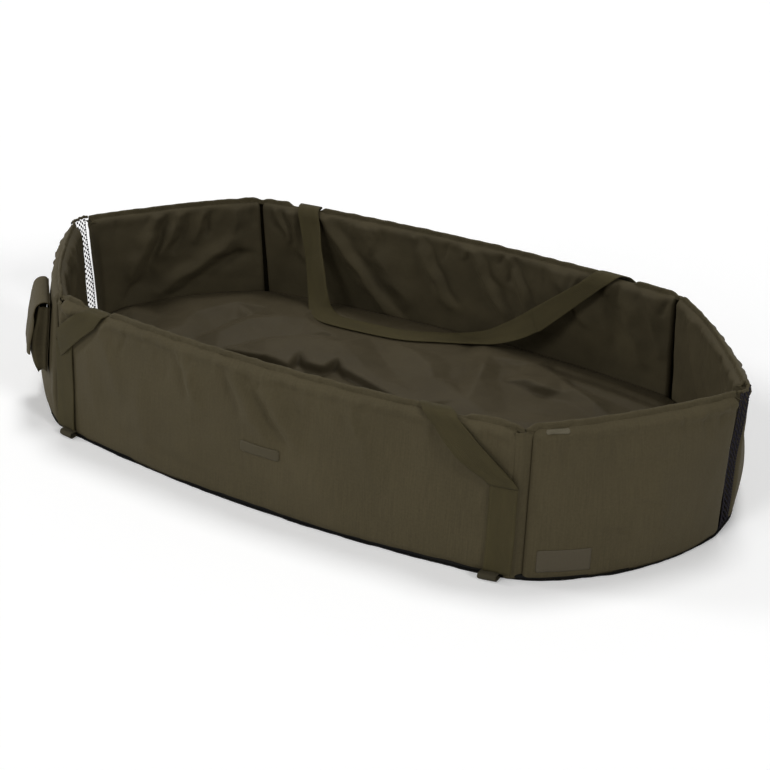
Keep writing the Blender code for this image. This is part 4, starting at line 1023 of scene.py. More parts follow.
def add_ground_cloth():
    """Black groundsheet with a turned edge."""
    rim = smooth_ring(outline(height=0.0, depth=0.0, step=RING_STEP))
    count = len(rim)
    place = np.arange(count) * RING_STEP
    wave = drift(place, 0, 0.07, 31) + 0.5 * drift(place, 0, 0.02, 32)
    rings = []
    for inset, height in GROUND_RINGS:
        loose = 1 if inset < 0.01 else 0
        ring = rim - ring_sides(rim) * (inset + 0.0007 * wave * loose)[:, None]
        ring[:, 2] = np.maximum(height + 0.0003 * wave * loose, 0.0)
        rings.append(ring)
    last = (len(rings) - 1) * count
    faces = ring_quads(count, len(rings)) + [list(range(count))[::-1], list(range(last, last + count))]
    sheet = make_piece("ground_cloth", np.concatenate(rings), faces, "black_base", replaces=["groundsheet"])
    x, y = rim[:, 0], rim[:, 1]
    area = abs(float(np.sum(x * np.roll(y, -1) - np.roll(x, -1) * y)) / 2)


def add_piping():
    """Black piping where the walls are sewn to the groundsheet."""
    track = smooth_ring(outline(height=0.0042, depth=0.0056, step=RING_STEP))
    sway = 0.0004 * drift(np.arange(len(track)) * RING_STEP, 0, 0.05, 41)
    shown = 0.0008 * soft_step(-track[:, 1], 0.2, 0.26) * soft_step(track[:, 0], -0.3, 0.2)
    wide, high = PIPING_RADII
    turns = np.linspace(0, 2 * math.pi, 10, endpoint=False)
    rings = []
    for turn in turns:
        ring = track + ring_sides(track) * (wide * math.cos(turn) + sway + shown)[:, None]
        ring[:, 2] = PIPING_LEVEL + high * math.sin(turn)
        rings.append(ring)
    make_piece("base_piping", np.concatenate(rings), ring_quads(len(track), len(turns), closed=True),
               "black_base", replaces=["base_welt"])


def inner_span(x, clearance, height):
    """Nearest and farthest y inside the walls at an x, for the floor pieces."""
    ring = outline(height, WALL_THICKNESS + clearance, 0.004)
    low = ring[ring[:, 1] < 0]
    high = ring[ring[:, 1] > 0]
    low = low[np.argsort(low[:, 0])]
    high = high[np.argsort(high[:, 0])]
    return np.interp(x, low[:, 0], low[:, 1]), np.interp(x, high[:, 0], high[:, 1])


def floor_reach(clearance, height):
    """How far the floor pieces reach towards the tips."""
    ring = outline(height, WALL_THICKNESS + clearance, 0.004)
    return float(min(ring[:, 0].max(), -ring[:, 0].min())) - 0.001


def floor_grid(clearance, height, columns, rows):
    """Grid over the floor: places, and shares out along and across."""
    along = np.linspace(-1, 1, columns)
    x = along * floor_reach(clearance, height)
    low, high = inner_span(x, clearance, height)
    across = np.linspace(-1, 1, rows)
    y = (low + high)[:, None] / 2 + across[None, :] * (high - low)[:, None] / 2
    return np.broadcast_arrays(x[:, None], y, along[:, None], across)


def add_floor_foam():
    """Foam board under the mat, its edges rounded over."""
    x, y, a, c = floor_grid(clearance=0.0045, height=0.016, columns=60, rows=30)
    edge = (1 - a ** 40) * (1 - c ** 40)
    top = 0.0018 + 0.0138 * np.sqrt(np.clip(edge, 0, 1)) + 0.0002 * drift(x, y, 0.2, 51)
    piece = closed_piece("floor_padding", laid_out(x, y, top), laid_out(x, y, FOAM_FOOT), "floor_foam",
                         replaces=["floor_foam"])


def mat_top(a, c):
    """Level of the mat's upper face at shares out along and across."""
    return MAT_TOP + MAT_CROWN * (1 - a ** 4) * (1 - c ** 4)


def add_mat():
    """Padded inner mat with a sewn channel inside its border."""
    x, y, a, c = floor_grid(clearance=0.009, height=MAT_TOP, columns=120, rows=60)
    channel = np.maximum(np.abs(a) / CHANNEL_SHARES[0], np.abs(c) / CHANNEL_SHARES[1])
    top = mat_top(a, c) - CHANNEL_DEPTH * np.exp(-((channel - 1) / 0.025) ** 2)
    side = np.maximum(np.abs(a), np.abs(c))
    top = top - 0.010 * np.clip((side - 0.9) / 0.1, 0, 1) ** 3
    top = top + 0.0006 * drift(x, y, 0.09, 61) * (side < 0.97)
    bottom = MAT_FOOT + 0.006 * np.clip((side - 0.94) / 0.06, 0, 1) ** 2
    piece = closed_piece("padded_inner_mat", laid_out(x, y, top), laid_out(x, y, bottom), "mat_fabric",
                         laid_out(x, y), replaces=["inner_mat"])


# Floor cover

# Folds of the loose cover, ridges and valleys alike: places (x, y) and lift, in mm
COVER_FOLDS = (
    ((-525, 50, 18), (-500, 30, 18), (-473, 0, 12)), ((-500, 80, 2), (-458, 42, 1), (-440, 0, 3)),
    ((-455, 125, 10), (-405, 80, 15), (-388, 20, 13)), ((-420, 195, 6), (-372, 150, 16), (-330, 126, 8)),
    ((-352, 4, 1), (-343, 57, 0), (-338, 105, 1), (-326, 132, 4)),
    ((-314, 163, 14), (-284, 178, 13), (-235, 162, 11), (-180, 138, 8), (-140, 120, 6)),
    ((-322, 40, 13), (-312, 100, 16), (-270, 140, 17)),
    ((-292, -16, 1), (-274, 18, 2), (-252, 62, 2), (-212, 102, 1), (-165, 128, 1)),
    ((-236, 52, 15), (-200, 82, 19), (-160, 104, 19), (-124, 104, 18), (-82, 76, 18), (-41, 46, 15),
     (0, 30, 13), (62, 20, 10)),
    ((-270, -8, 12), (-203, 0, 16), (-153, -6, 14), (-163, 42, 20), (-126, 14, 16), (-100, 14, 17),
     (-97, 54, 20), (-64, 26, 16), (-19, 12, 15), (33, -4, 13), (83, -14, 10)),
    ((-264, -20, 2), (-196, -14, 1), (-143, -20, 1), (-146, 10, 3), (-118, 0, 1), (-93, -1, 1),
     (-85, 26, 3), (-56, 11, 1), (-11, -3, 1), (41, -18, 1), (90, -28, 1)),
    ((-112, 165, 2), (-65, 125, 1), (-25, 88, 3), (10, 60, 4)),
    ((-70, 168, 7), (-13, 145, 15), (36, 112, 16), (62, 78, 12)), ((20, 160, 6), (58, 142, 3), (82, 98, 1)),
    ((94, 200, 12), (106, 160, 19), (122, 110, 14)), ((68, 178, 2), (92, 136, 1), (104, 88, 2)),
    ((128, 178, 6), (148, 138, 2), (176, 100, 1), (200, 62, 1)),
    ((150, 205, 4), (170, 176, 6), (188, 152, 16), (218, 142, 17), (252, 148, 10)),
    ((196, 130, 3), (235, 122, 2), (276, 130, 2)),
    ((170, 226, 8), (226, 190, 11), (262, 165, 14), (303, 143, 12), (345, 122, 5)),
    ((87, 75, 13), (144, 40, 15), (190, 20, 9)), ((213, 50, 2), (286, 80, 2), (330, 100, 2)),
    ((190, 243, 6), (300, 233, 6), (385, 215, 5)), ((200, 228, 1), (310, 214, 1), (395, 197, 1)),
    ((235, 205, 5), (320, 195, 5), (403, 181, 5)), ((255, 186, 1), (325, 170, 1), (415, 148, 1)),
    ((240, 20, 14), (330, 50, 16), (410, 50, 10)), ((440, 110, 3), (470, 30, 10), (500, -40, 3)),
    ((-420, -70, 15), (-330, -60, 3), (-250, -90, 15), (-180, -60, 3)),
    ((-350, -160, 3), (-270, -150, 9), (-200, -130, 2)),
    ((-130, -110, 13), (-60, -80, 15), (10, -110, 6), (80, -80, 14)),
    ((-90, -50, 3), (-20, -50, 9), (50, -55, 3)),
    ((120, -60, 3), (200, -50, 15), (290, -80, 4), (370, -60, 13)),
    ((100, -160, 4), (190, -150, 11), (270, -180, 3), (350, -150, 9)), ((-500, -80, 3), (-440, -130, 9)),
)


def crossing_lift(spot, corners, edges, lifts):
    """Height of the cover where two folds cross."""
    found = []
    for i, j in edges:
        run = corners[j] - corners[i]
        share = (spot - corners[i]).dot(run) / run.length_squared
        if 0 <= share <= 1 and (corners[i] + run * share - spot).length < 1e-4:
            found.append(lifts[i] + (lifts[j] - lifts[i]) * share)
    return np.mean(found)


def facets(x, y):
    """Height of the cover over the mat: flat facets between its listed folds."""
    corners, edges, lifts = [], [], []
    for fold in COVER_FOLDS:
        edges += [(k, k + 1) for k in range(len(corners), len(corners) + len(fold) - 1)]
        corners += [Vector((fold_x / 1000, fold_y / 1000)) for fold_x, fold_y, _ in fold]
        lifts += [lift / 1000 for _, _, lift in fold]
    for turn in np.linspace(0, 2 * math.pi, 44, endpoint=False):
        corners.append(Vector((0.58 * math.cos(turn), 0.33 * math.sin(turn))))
        lifts.append(0.004 + 0.003 * math.sin(7 * turn))
    spots, _, faces, from_points, _, _ = delaunay_2d_cdt(corners, edges, [], 0, 1e-5)
    level = [np.mean([lifts[i] for i in source]) if source else crossing_lift(spot, corners, edges, lifts)
             for spot, source in zip(spots, from_points)]
    total = np.full(x.shape, 0.002)
    for face in faces:
        (ax, ay), (bx, by), (cx, cy) = (spots[i] for i in face)
        area = (bx - ax) * (cy - ay) - (cx - ax) * (by - ay)
        if abs(area) < 1e-9:
            continue
        t = ((x - ax) * (cy - ay) - (cx - ax) * (y - ay)) / area
        s = ((bx - ax) * (y - ay) - (x - ax) * (by - ay)) / area
        inside = (t >= -1e-6) & (s >= -1e-6) & (t + s <= 1 + 1e-6)
        first, second, third = (level[i] for i in face)
        total = np.where(inside, first + t * (second - first) + s * (third - first), total)
    return total


def soften(height):
    """Grid of heights, each drawn a little towards the ones beside it."""
    wide = np.pad(height, 1, mode="edge")
    return (wide[:-2, 1:-1] + wide[2:, 1:-1] + wide[1:-1, :-2] + wide[1:-1, 2:] + 4 * height) / 8


def under_loops(x, y):
    """Highest level of the cover beneath and beside the carrying loops that lie on it."""
    level = np.full(x.shape, COVER_CEILING)
    for side in ("near", "far"):
        for left, right in loop_rows(side, WALLS[side + "_side"]):
            middle = (left + right) / 2
            reach = np.hypot(x - middle.x, y - middle.y)
            level = np.minimum(level, middle.z - LOOP_GAP + 0.9 * np.maximum(0, reach - 0.021))
    return level


def add_cover():
    """Loose coated cover on the inner mat, in flat facets between its creases."""
    x, y, a, c = floor_grid(COVER_EDGE, MAT_TOP, columns=300, rows=150)
    fade = np.clip((1 - a ** 14) * (1 - c ** 16), 0, 1)
    lift = soften(facets(x, y) * 1.35)
    lift = lift + 0.0005 * drift(x, y, 0.07, 71) + 0.00025 * drift(x, y, 0.025, 72)
    z = mat_top(a, c) + COVER_GAP + np.maximum(lift, 0) * fade
    z = soften(np.minimum(z, under_loops(x, y)))
    tip = np.maximum(z - mat_top(a, c) - COVER_GAP, 0)
    grid = laid_out(x + FOLD_LEAN[0] * tip, y + FOLD_LEAN[1] * tip, z)
    piece = cloth_piece("loose_floor_cover", grid, laid_out(x, y), DOUBLED_NYLON, "cover_fabric",
                        replaces=["floor_cover"])
    low, high = inner_span(x[:, 0], COVER_EDGE, MAT_TOP)


# Nets

def add_net(label, end):
    """Knitted drainage net in the opening of a tip: zigzag threads that meet in small knots."""
    wide = TIP_OPENING - 0.003
    low, high = WALL_FOOT + 0.001, NET_TOP
    pitch = (high - low) / NET_ROWS
    step = wide / NET_COLUMNS
    points, faces = [], []
    ring = [(math.cos(t), math.sin(t)) for t in np.arange(4) * math.pi / 2]
    for column in range(NET_COLUMNS + 1):
        middle = -wide / 2 + column * step
        base = len(points)
        for row in range(NET_ROWS):
            sway = 0 if column in (0, NET_COLUMNS) else step * 0.40 * (1 if (row + column) % 2 else -1)
            for lift, radius in NET_THREAD:
                z = low + (row + lift) * pitch
                bow = 0.0010 * math.sin(z * 45) + 0.0006 * math.sin((middle + sway) * 300 + z * 20)
                x = end * (HALF_LENGTH - 0.0036 + bow)
                points += [(x + radius * c, middle + sway + radius * s, z) for c, s in ring]
        for p in range(base, len(points) - 4, 4):
            for j in range(4):
                n = (j + 1) % 4
                faces.append((p + j, p + 4 + j, p + 4 + n, p + n))
    make_piece(label + "_knitted_net", lean_out(points), faces, "net", replaces=[label + "_drain_net"])


def add_net_tape(label, end):
    """Narrow crumpled tape folded over the top edge of a net, from one tip of the rim to the other."""
    half = TIP_OPENING / 2 - 0.0004
    y = np.linspace(-half, half, 25)[:, None]
    turns = np.linspace(0, 2 * math.pi, 12, endpoint=False)
    bow = 0.0060 * (1 - (y / half) ** 2)
    sway = 0.0008 * np.sin(y * 620 + end) + 0.0004 * np.sin(y * 1500)
    drop = 0.0010 * np.cos(y * 250) + 0.0005 * np.sin(y * 900)
    x = end * (HALF_LENGTH - 0.0090 + bow + sway + 0.0017 * np.cos(turns))
    grid = lean_out(laid_out(x, y, NET_TAPE_LEVEL - drop + 0.0024 * np.sin(turns)))
    swept_piece(label + "_net_tape", grid, laid_out(grid[..., 1], turns * 0.002), "binding_tape",
                replaces=[label + "_net_binding"])


# Webbing

# Bands: share of the way up, stand off the wall, share of the extra width, twist
BAND_SHARES = (
    (0.00, 0.0052, 0.00, 0.0006), (0.12, 0.0078, 0.20, 0.0020), (0.28, 0.0105, 0.55, 0.0040),
    (0.45, 0.0120, 0.85, 0.0050), (0.62, 0.0112, 0.96, 0.0040), (0.78, 0.0086, 1.00, 0.0020),
    (0.90, 0.0056, 1.00, 0.0006),
)

# Share of its own width that a near band takes up at the rim, folded or spread: left, right
BAND_WIDTHS = (1.08, 1.28)

# Near left band, folded from the sewn strip: lower edge, upper edge (x, height) and stand off the wall
NEAR_LEFT_BAND = (
    ((-0.379, 0.127), (-0.386, 0.167), 0.0058), ((-0.370, 0.134), (-0.381, 0.172), 0.0070),
    ((-0.350, 0.152), (-0.368, 0.184), 0.0084), ((-0.326, 0.173), (-0.352, 0.197), 0.0082),
    ((-0.303, 0.1915), (-0.340, 0.2055), 0.0058),
)

# Saddle of a band over the rim: shift with its lean, height, share of its sag, depth, share of its width
# and the rest of that; then how far it drops inside, and its depth there
SADDLE_ROWS = (
    (-0.0040, 0.2135, 0.5, -0.0016, 1.0, 0.00), (0.0020, 0.2180, 1.0, 0.0050, 1.0, 0.00),
    (0.0090, 0.2192, 1.0, 0.0110, 0.8, 0.21), (0.0125, 0.2178, 1.0, 0.0180, 0.4, 0.62),
)
SADDLE_DROPS = ((0.006, 0.0240), (0.014, 0.0285), (0.024, 0.0320))

# Carrying loops: places between the crossings, share of the reach inwards, share of the rise, turn
HANDLE_SHARES = (
    (-0.900, 0.38, 0.62, 0.00), (-0.850, 0.55, 0.42, 0.10), (-0.800, 0.74, 0.20, 0.35),
    (-0.740, 0.92, 0.05, 0.75), (-0.620, 1.00, 0.00, 1.00), (-0.400, 0.96, 0.00, 1.00),
    (-0.170, 0.84, 0.00, 1.00), (0.024, 0.52, 0.00, 1.00), (0.200, 0.27, 0.03, 0.90),
    (0.340, 0.24, 0.13, 0.65), (0.477, 0.24, 0.28, 0.40), (0.600, 0.26, 0.46, 0.20),
)


def flat_section(shares, thick):
    """Shares across and stand of webbing's section: its upper side, then its lower side back."""
    return np.array([*shares, *shares[::-1]]), np.concatenate([thick, -thick[::-1]])


def webbing_piece(name, rows, **settings):
    """Webbing along rows of left and right edge points."""
    table = [list((a + b) / 2) + list((b - a) / 2) for a, b in rows]
    even, run = smooth_rows(table, 0.004)
    middle, wide = even[:, :3], even[:, 3:]
    facing = np.cross(np.gradient(middle, axis=0), wide)
    facing /= np.linalg.norm(facing, axis=1, keepdims=True)
    across, stand = flat_section((-1, -0.94, -0.75, -0.5, -0.25, 0, 0.25, 0.5, 0.75, 0.94, 1),
                                 0.001 * np.array([0.6, 0.95, 1, 1, 1, 1, 1, 1, 1, 0.95, 0.6]))
    grid = middle[:, None] + wide[:, None] * across[:, None] + facing[:, None] * stand[:, None]
    half = np.linalg.norm(wide, axis=1)[:, None]
    return swept_piece(name, grid, laid_out(across * half, run[:, None]), "webbing", **settings)


def wall_pair(wall, x, height, depth, half, twist=0.0, tilt=0.0):
    """Left and right edge points of webbing at an x on a side wall, standing off by minus the depth."""
    left = Vector((x - half, side_y(wall, x - half, height, depth - twist), height - tilt))
    right = Vector((x + half, side_y(wall, x + half, height, depth + twist), height + tilt))
    return left, right


def strip_rows(wall, end):
    """Rows of the sewn strip that runs up a side wall beside its fold."""
    rows = []
    top = 0.150 if wall.name == "near_side" and not end else SEWN_HEIGHTS[end] - 0.001
    for height in np.linspace(0.0095, top, 14):
        bow = 0.0006 * math.sin(height * 60 + end)
        rows.append(wall_pair(wall, STRIPS[end], height, -0.0026 - bow, WEBBING_WIDTH / 2))
    return rows


def folded_rows(wall):
    """Rows of the near left band, which is folded over where it leaves its strip."""
    return [wall_pair(wall, (x_low + x_high) / 2, (low + high) / 2, -stand, (x_low - x_high) / 2,
                      tilt=(low - high) / 2) for (x_low, low), (x_high, high), stand in NEAR_LEFT_BAND]


def slanting_rows(wall, end, wide):
    """Rows of a band that slants from its strip to the rim and twists a little on the way."""
    start = SEWN_HEIGHTS[end] - 0.004
    rows = []
    for share, stand, width, twist in BAND_SHARES:
        height = start + (SKIN_TOP - start) * share
        half = WEBBING_WIDTH / 2 * (1.03 + (wide - 1.03) * width)
        x = float(strap_centre(wall, end, height))
        rows.append(wall_pair(wall, x, height, -stand, half, twist if end else -twist))
    return rows


def band_rows(wall, end):
    """Rows of a band from the top of its sewn strip over the rim and into the crib."""
    near = wall.name == "near_side"
    folded = near and not end
    wide = BAND_WIDTHS[end] if near else 1.04
    half = WEBBING_WIDTH / 2
    sag = BAND_SAG if folded else 0.0
    rows = folded_rows(wall) if folded else slanting_rows(wall, end, wide)
    top = rim_crossing(wall, end)
    lean = -math.copysign(SADDLE_LEANS[end], top)
    for shift, height, sagging, depth, share, rest in SADDLE_ROWS:
        broad = half * (wide * share + rest)
        rows.append(wall_pair(wall, top + lean * shift, height - sag * sagging, depth, broad))
    for drop, depth in SADDLE_DROPS:
        height = WALL_HEIGHT - drop - sag * (1 - drop / 0.032)
        rows.append(wall_pair(wall, top + lean * (0.0126 + drop), height, depth, half * 1.04))
    return rows


def loop_rows(side, wall):
    """Rows of the carrying loop that lies across the cover."""
    inwards = 1 if side == "near" else -1
    axis_y = side_y(wall, LOOP_X, WALL_HEIGHT, WALL_THICKNESS / 2)
    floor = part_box(side + "_handle")[0].z + 0.001
    middle = (CROSSINGS[0] + CROSSINGS[1]) / 2
    half_span = (CROSSINGS[1] - CROSSINGS[0]) / 2
    rise_to = WALL_HEIGHT - WALL_THICKNESS / 2
    path = [(middle + share * half_span, axis_y + inwards * reach * HANDLE_REACH,
             floor + (rise_to - floor) * rise, turn) for share, reach, rise, turn in HANDLE_SHARES]
    curve, _ = smooth_rows(path, 0.012)
    rows = []
    for k, (x, y, z, turn) in enumerate(curve):
        before = curve[max(0, k - 1)]
        after = curve[min(len(curve) - 1, k + 1)]
        run = (Vector(after[:3]) - Vector(before[:3])).normalized()
        lean = math.pi / 2 * min(1, max(0, turn))
        across = run.cross(Vector((0, inwards * math.cos(lean), math.sin(lean)))).normalized()
        if across.dot(rows[-1][1] - rows[-1][0] if rows else Vector((1, 0, 0))) < 0:
            across = -across
        here = Vector((x, y, max(z, floor)))
        rows.append((here - across * (WEBBING_WIDTH / 2), here + across * (WEBBING_WIDTH / 2)))
    return rows


def add_webbing(side):
    """Two sewn strips, and the one length of webbing that makes both bands and the carrying loop."""
    wall = WALLS[side + "_side"]
    for end, label in enumerate(("left", "right")):
        webbing_piece(f"{side}_{label}_sewn_strip", strip_rows(wall, end))
    loop = loop_rows(side, wall)
    right = band_rows(wall, 1)
    tail = loop[-1][1] - loop[-1][0]
    if tail.dot(right[-1][1] - right[-1][0]) < 0:
        right = [(b, a) for a, b in right]
    piece = webbing_piece(side + "_webbing", band_rows(wall, 0) + loop + right[::-1], body=None,
                          replaces=[side + "_left_strap", side + "_right_strap", side + "_handle"])
    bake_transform(piece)


def peg_profile(reach):
    """Middle line of a folded peg loop, out along the ground and back: places out and up, and the run."""
    radius = 0.0042
    turns = np.linspace(-math.pi / 2, math.pi / 2, 11)
    profile = [(0.0, 0.0018, 0), (0.004, 0.0016, 0), (0.009, 0.0014, 0)]
    profile += [(reach - 0.0052 + radius * math.cos(t), 0.0056 + radius * math.sin(t), 0) for t in turns]
    profile += [(0.008, 0.0096, 0), (0.003, 0.0090, 0), (0.0, 0.0080, 0)]
    even, run = smooth_rows(profile, 0.0012)
    return even[:, :2], run


def add_peg_loop(side, label):
    """Folded loop of narrow webbing under the foot of a strap."""
    name = f"{side}_{label}_peg_loop"
    low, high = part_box(name)
    wall = WALLS[side + "_side"]
    outwards, outer, inner = (-1, low.y, high.y) if side == "near" else (1, high.y, low.y)
    x = (low.x + high.x) / 2
    slope = (side_y(wall, x + 0.01, 0.001, 0) - side_y(wall, x - 0.01, 0.001, 0)) / 0.02
    middle, run = peg_profile(abs(outer - inner) - abs(slope) * 0.025)
    step = np.gradient(middle, axis=0)
    normal = np.stack([-step[:, 1], step[:, 0]], -1)
    normal /= np.linalg.norm(normal, axis=1, keepdims=True)
    across, stand = flat_section((-1, -0.9, -0.5, 0, 0.5, 0.9, 1),
                                 np.array([0.0004, 0.0007, 0.0008, 0.0008, 0.0008, 0.0007, 0.0004]))
    place = middle[:, None] + normal[:, None] * stand[:, None]
    wide = across * PEG_HALF
    y = inner + outwards * place[..., 0] + slope * wide
    z = np.maximum(place[..., 1] + 0.0004 * np.sin(3 * across), 0.0003)
    swept_piece(f"{side}_{label}_peg_webbing", laid_out(x + wide, y, z), laid_out(wide, run[:, None]),
                "peg_webbing", replaces=[name])


# Badge and labels

def rounded(share, power):
    """1 in the middle and 0 at both ends of -1 to 1, with full shoulders."""
    return np.sqrt(np.clip(1 - np.abs(share) ** power, 0, 1))


def stuck_piece(name, wall, finish, start, length, foot, height, thickness, corner, edge_lift=0.0,
                **settings):
    """Plate, label or tab on a wall's outer cloth, with rounded corners and soft edges."""
    a = np.linspace(-1, 1, max(24, int(length / 0.002)))
    b = np.linspace(-1, 1, max(12, int(height / 0.002)))
    aa, bb = np.meshgrid(a, b, indexing="ij")
    cut = corner / (height / 2)
    beyond = np.clip((np.abs(bb) - 1 + cut) / cut, 0, 1)
    inset = corner / (length / 2) * (1 - np.sqrt(1 - beyond ** 2))
    u = start + length / 2 * (1 + aa * (1 - inset))
    v = foot + height / 2 * (1 + bb)
    seat = outer_depth(wall, u, v) - 0.0003 - edge_lift * (np.abs(aa) * np.abs(bb)) ** 6
    edge = np.minimum(rounded(aa, 12), rounded(bb, 8))
    outer = lean_out(wall.at(u, v, seat - thickness * (0.35 + 0.65 * edge)))
    inner = lean_out(wall.at(u, v, seat))
    return closed_piece(name, outer, inner, finish, laid_out(u, v), **settings)


def add_marks():
    """Bare badge on the near side, bare care label and small tab on the near right end."""
    near, right = WALLS["near_side"], WALLS["near_right_end"]
    stuck_piece("raised_badge", near, "badge_rubber", start=near.length / 2 + 0.013 - 0.0325, length=0.065,
                foot=0.088, height=0.017, thickness=0.0018, corner=0.004, replaces=["badge_plate"])
    label = stuck_piece("sewn_care_label", right, "label_fabric", start=0.027, length=0.068, foot=0.0145,
                        height=0.032, thickness=0.0006, corner=0.0015, edge_lift=0.0010,
                        replaces=["care_label"])
    stuck_piece("small_rim_tab", right, "tab_webbing", start=0.0280, length=0.031, foot=0.2078,
                height=0.0044, thickness=0.0012, corner=0.0020, replaces=["rim_tab"])


# Pocket

# How far the pocket's bag stands out from the wall: height and depth
POCKET_DEPTHS = (
    (0.0, 0.0140), (0.006, 0.0164), (0.014, 0.0196), (0.030, 0.0236),
    (0.046, 0.0248), (0.062, 0.0232), (0.080, 0.0196), (0.104, 0.0176),
)

# Section of the gusset, once round: inset, share of the pocket's depth
GUSSET_SECTION = (
    (0.0002, 0.06), (0.0012, 0.27), (0.0034, 0.50), (0.0014, 0.76), (0.0002, 0.98),
    (0.0012, 1.00), (0.0024, 0.78), (0.0046, 0.50), (0.0022, 0.27), (0.0012, 0.07),
)

# Side view of the lid from its sewn edge to its free one: height and depth
LID_PROFILE = (
    (0.1070, 0.0016), (0.1108, 0.0036), (0.1120, 0.0085), (0.1100, 0.0155), (0.1040, 0.0215),
    (0.0940, 0.0252), (0.0810, 0.0272), (0.0600, 0.0292), (0.0440, 0.0310), (0.0284, 0.0312),
)


def in_pocket(across, up, out):
    """World points for places across, up and out on the pocket."""
    return laid_out(across, up - POCKET_SINK * (1 - up / LID_TOP), out, 1.0) @ POCKET_FRAME.T


def pocket_depth(up):
    """How far the pocket's bag stands out from the wall at a height."""
    return np.interp(up, *np.array(POCKET_DEPTHS).T)


def add_pocket_faces():
    """Bulging front and flat back of the pocket on the near left end."""
    aa, bb = np.meshgrid(np.linspace(-1, 1, 48), np.linspace(0, 1, 46), indexing="ij")
    beyond = np.clip((np.abs(aa) - 0.86) / 0.14, 0, 1)
    round_foot = 0.006 * (1 - np.sqrt(1 - beyond ** 2))
    up = round_foot + (POCKET_TOP - round_foot) * bb
    across = aa * POCKET_HALF
    bulge = (1 - aa ** 4) * (1 - (2 * bb - 1) ** 4)
    wrinkle = 0.0012 * drift(across, up, 0.035, 81) + 0.0006 * drift(across, up, 0.014, 82)
    out = pocket_depth(up) + 0.0030 * bulge + wrinkle * np.clip(bulge * 3, 0, 1)
    out = out - 0.0010 * (1 - np.clip(bulge * 6, 0, 1))
    front = cloth_piece("pocket_front_cloth", in_pocket(across, up, out), laid_out(across, up), 0.0010,
                        "outer_nylon", replaces=["pocket_front"])

    place = in_pocket(across, up + 0.0075 * bb, 0.0011 + 0.0003 * drift(across, up, 0.03, 83))
    back = cloth_piece("pocket_back_cloth", place, laid_out(across, up), DOUBLED_NYLON, "outer_nylon",
                       replaces=["pocket_back"])


def add_pocket_gusset():
    """Soft gusset round the two sides and the foot of the pocket."""
    corner = 0.010
    bends = np.linspace(0, math.pi / 2, 8)[1:]
    left = [(-POCKET_HALF, POCKET_TOP - t) for t in np.linspace(0, POCKET_TOP - corner, 24)]
    left += [(-POCKET_HALF + corner - corner * math.cos(t), corner - corner * math.sin(t)) for t in bends]
    flat = [(t, 0.0) for t in np.linspace(-POCKET_HALF + corner, POCKET_HALF - corner, 26)[1:-1]]
    track = np.array(left + flat + [(-x, y) for x, y in reversed(left)])
    step = np.gradient(track, axis=0)
    inward = np.stack([-step[:, 1], step[:, 0]], -1) / np.linalg.norm(step, axis=1, keepdims=True)
    insets, shares = np.array(GUSSET_SECTION).T
    run = np.arange(len(track))[:, None] * 0.004
    inset = insets * np.where(insets > 0.001, 1 + 0.5 * drift(run, 0, 0.03, 84), 1)
    place = track[:, None] + inward[:, None] * inset[..., None]
    out = shares * (pocket_depth(track[:, 1:]) - 0.0006)
    gusset = swept_piece("pocket_gusset_cloth", in_pocket(place[..., 0], place[..., 1], out),
                         laid_out(run, out), "outer_nylon", replaces=["pocket_gusset"])


def add_pocket_lid():
    """Lid that slopes off the wall and hangs over the pocket's front."""
    profile, _ = smooth_rows([(up, out, 0) for up, out in LID_PROFILE], 0.0024)
    aa, ss = np.meshgrid(np.linspace(-1, 1, 46), np.linspace(0, 1, len(profile)), indexing="ij")
    across = aa * LID_HALF
    up = profile[:, 0] + 0.0025 * np.clip((ss - 0.8) / 0.2, 0, 1) * aa ** 6
    out = profile[:, 1] - 0.0040 * aa ** 8 * soft_step(ss, 0.2, 0.5)
    out = out + 0.0010 * drift(across, up, 0.040, 85) * soft_step(ss, 0.35, 0.7)
    hem = np.clip((np.abs(aa) - 0.94) / 0.06, 0, 1) * soft_step(ss, 0.3, 0.45)
    out = out + 0.0008 * np.sin(math.pi * hem)
    lid = cloth_piece("pocket_lid_cloth", in_pocket(across, up, out), laid_out(across, up), 0.0013,
                      "outer_nylon", body="pocket_lid", replaces=["pocket_flap"])


def dress_frame_nodes():
    """Finishes for the solids of the frame that stay as they are."""
    for name in ("pocket_loop_pad", "pocket_hook_pad"):
        bpy.data.objects[name].data.materials[0] = FINISH["hook_tape"]


# Stage

def add_floor():
    """Plain pale floor that the camera sees a little brighter than the lamps make it."""
    mesh = bpy.data.meshes.new("floor")
    turns = np.linspace(0, 2 * math.pi, 64, endpoint=False)
    mesh.from_pydata([(6 * math.cos(t), 6 * math.sin(t), -0.0004) for t in turns], [], [list(range(64))])
    floor = bpy.data.objects.new("floor", mesh)
    bpy.context.collection.objects.link(floor)
    paper = Finish("white_floor", 0.95, 0.1)
    paper.put("Base Color", (0.93, 0.93, 0.93))
    lit = Wire(paper, paper.shader.outputs[0])
    seen = paper.node("ShaderNodeLightPath", output="Is Camera Ray")
    glow = paper.node("ShaderNodeEmission", None, {"Color": (1.0, 1.0, 1.0), "Strength": 0.16})
    both = paper.node("ShaderNodeAddShader", None, {0: lit, 1: glow})
    chosen = paper.node("ShaderNodeMixShader", None, {0: seen, 1: lit, 2: both})
    paper.feed(paper.tree.nodes["Material Output"].inputs["Surface"], chosen)
    mesh.materials.append(paper.material)


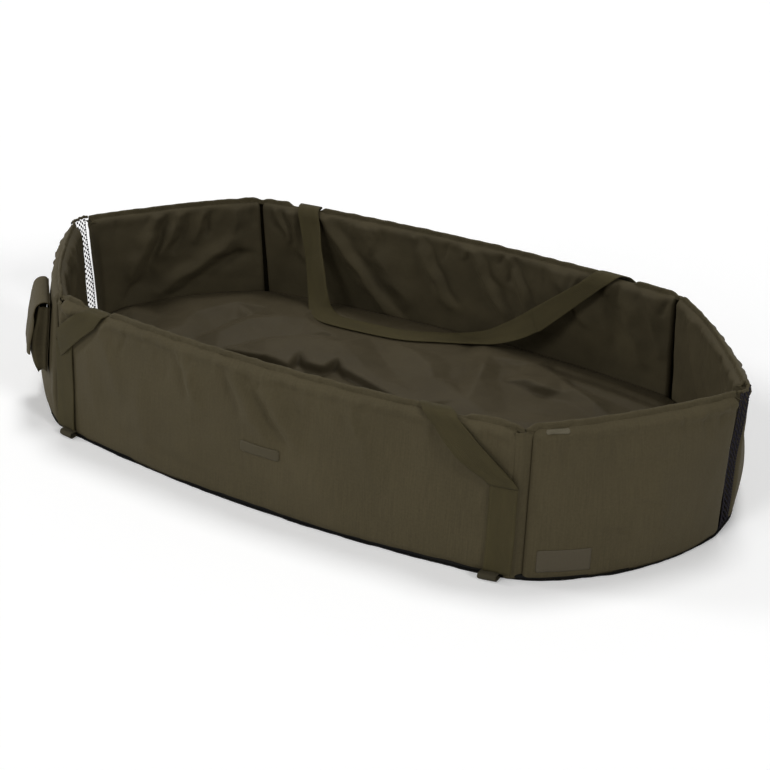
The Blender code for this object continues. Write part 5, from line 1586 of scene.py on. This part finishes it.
def light_room():
    """Room that lights little but is white to the camera and in reflections, and the lamps."""
    world = bpy.data.worlds.new("studio")
    bpy.context.scene.world = world
    world.use_nodes = True
    room = Nodes(world.node_tree)
    camera, glossy, through = room.outputs(room.node("ShaderNodeLightPath"), "Is Camera Ray",
                                           "Is Glossy Ray", "Is Transmission Ray")
    seen = camera.work("MAXIMUM", camera.work("MAXIMUM", camera, glossy), through)
    background = room.tree.nodes["Background"]
    room.feed(background.inputs["Color"], (1, 1, 1))
    room.feed(background.inputs["Strength"], AMBIENT + seen * (1 - AMBIENT))
    for name, towards, strength, spread in LAMPS:
        data = bpy.data.lights.new(name, "SUN")
        data.energy = strength
        data.angle = math.radians(spread)
        lamp = bpy.data.objects.new(name, data)
        lamp.rotation_mode = "QUATERNION"
        lamp.rotation_quaternion = (-Vector(towards)).to_track_quat("-Z", "Y")
        bpy.context.collection.objects.link(lamp)


def add_camera():
    """Camera at the photograph's place and angle."""
    data = bpy.data.cameras.new("camera")
    data.sensor_width = SENSOR_WIDTH
    data.lens = SENSOR_WIDTH * FOCAL_LENGTH / PICTURE_WIDTH
    camera = bpy.data.objects.new("camera", data)
    right = Vector(CAMERA_RIGHT).normalized()
    forward = Vector(CAMERA_FORWARD).normalized()
    up = right.cross(forward).normalized()
    right = forward.cross(up)
    place = Matrix((right, up, -forward)).transposed().to_4x4()
    place.translation = CAMERA_PLACE
    camera.matrix_world = place
    bpy.context.collection.objects.link(camera)
    bpy.context.scene.camera = camera
    bpy.context.scene.view_settings.view_transform = "Standard"


add_wall_cloths()
add_rims()
add_corner_strips()
add_ground_cloth()
add_piping()
add_floor_foam()
add_mat()
add_cover()
for tip_label, tip_end in (("left", -1), ("right", 1)):
    add_net(tip_label, tip_end)
    add_net_tape(tip_label, tip_end)
for mat_side in ("near", "far"):
    add_webbing(mat_side)
    for strap_end in ("left", "right"):
        add_peg_loop(mat_side, strap_end)
add_marks()
add_pocket_faces()
add_pocket_gusset()
add_pocket_lid()
dress_frame_nodes()
add_floor()
light_room()
add_camera()
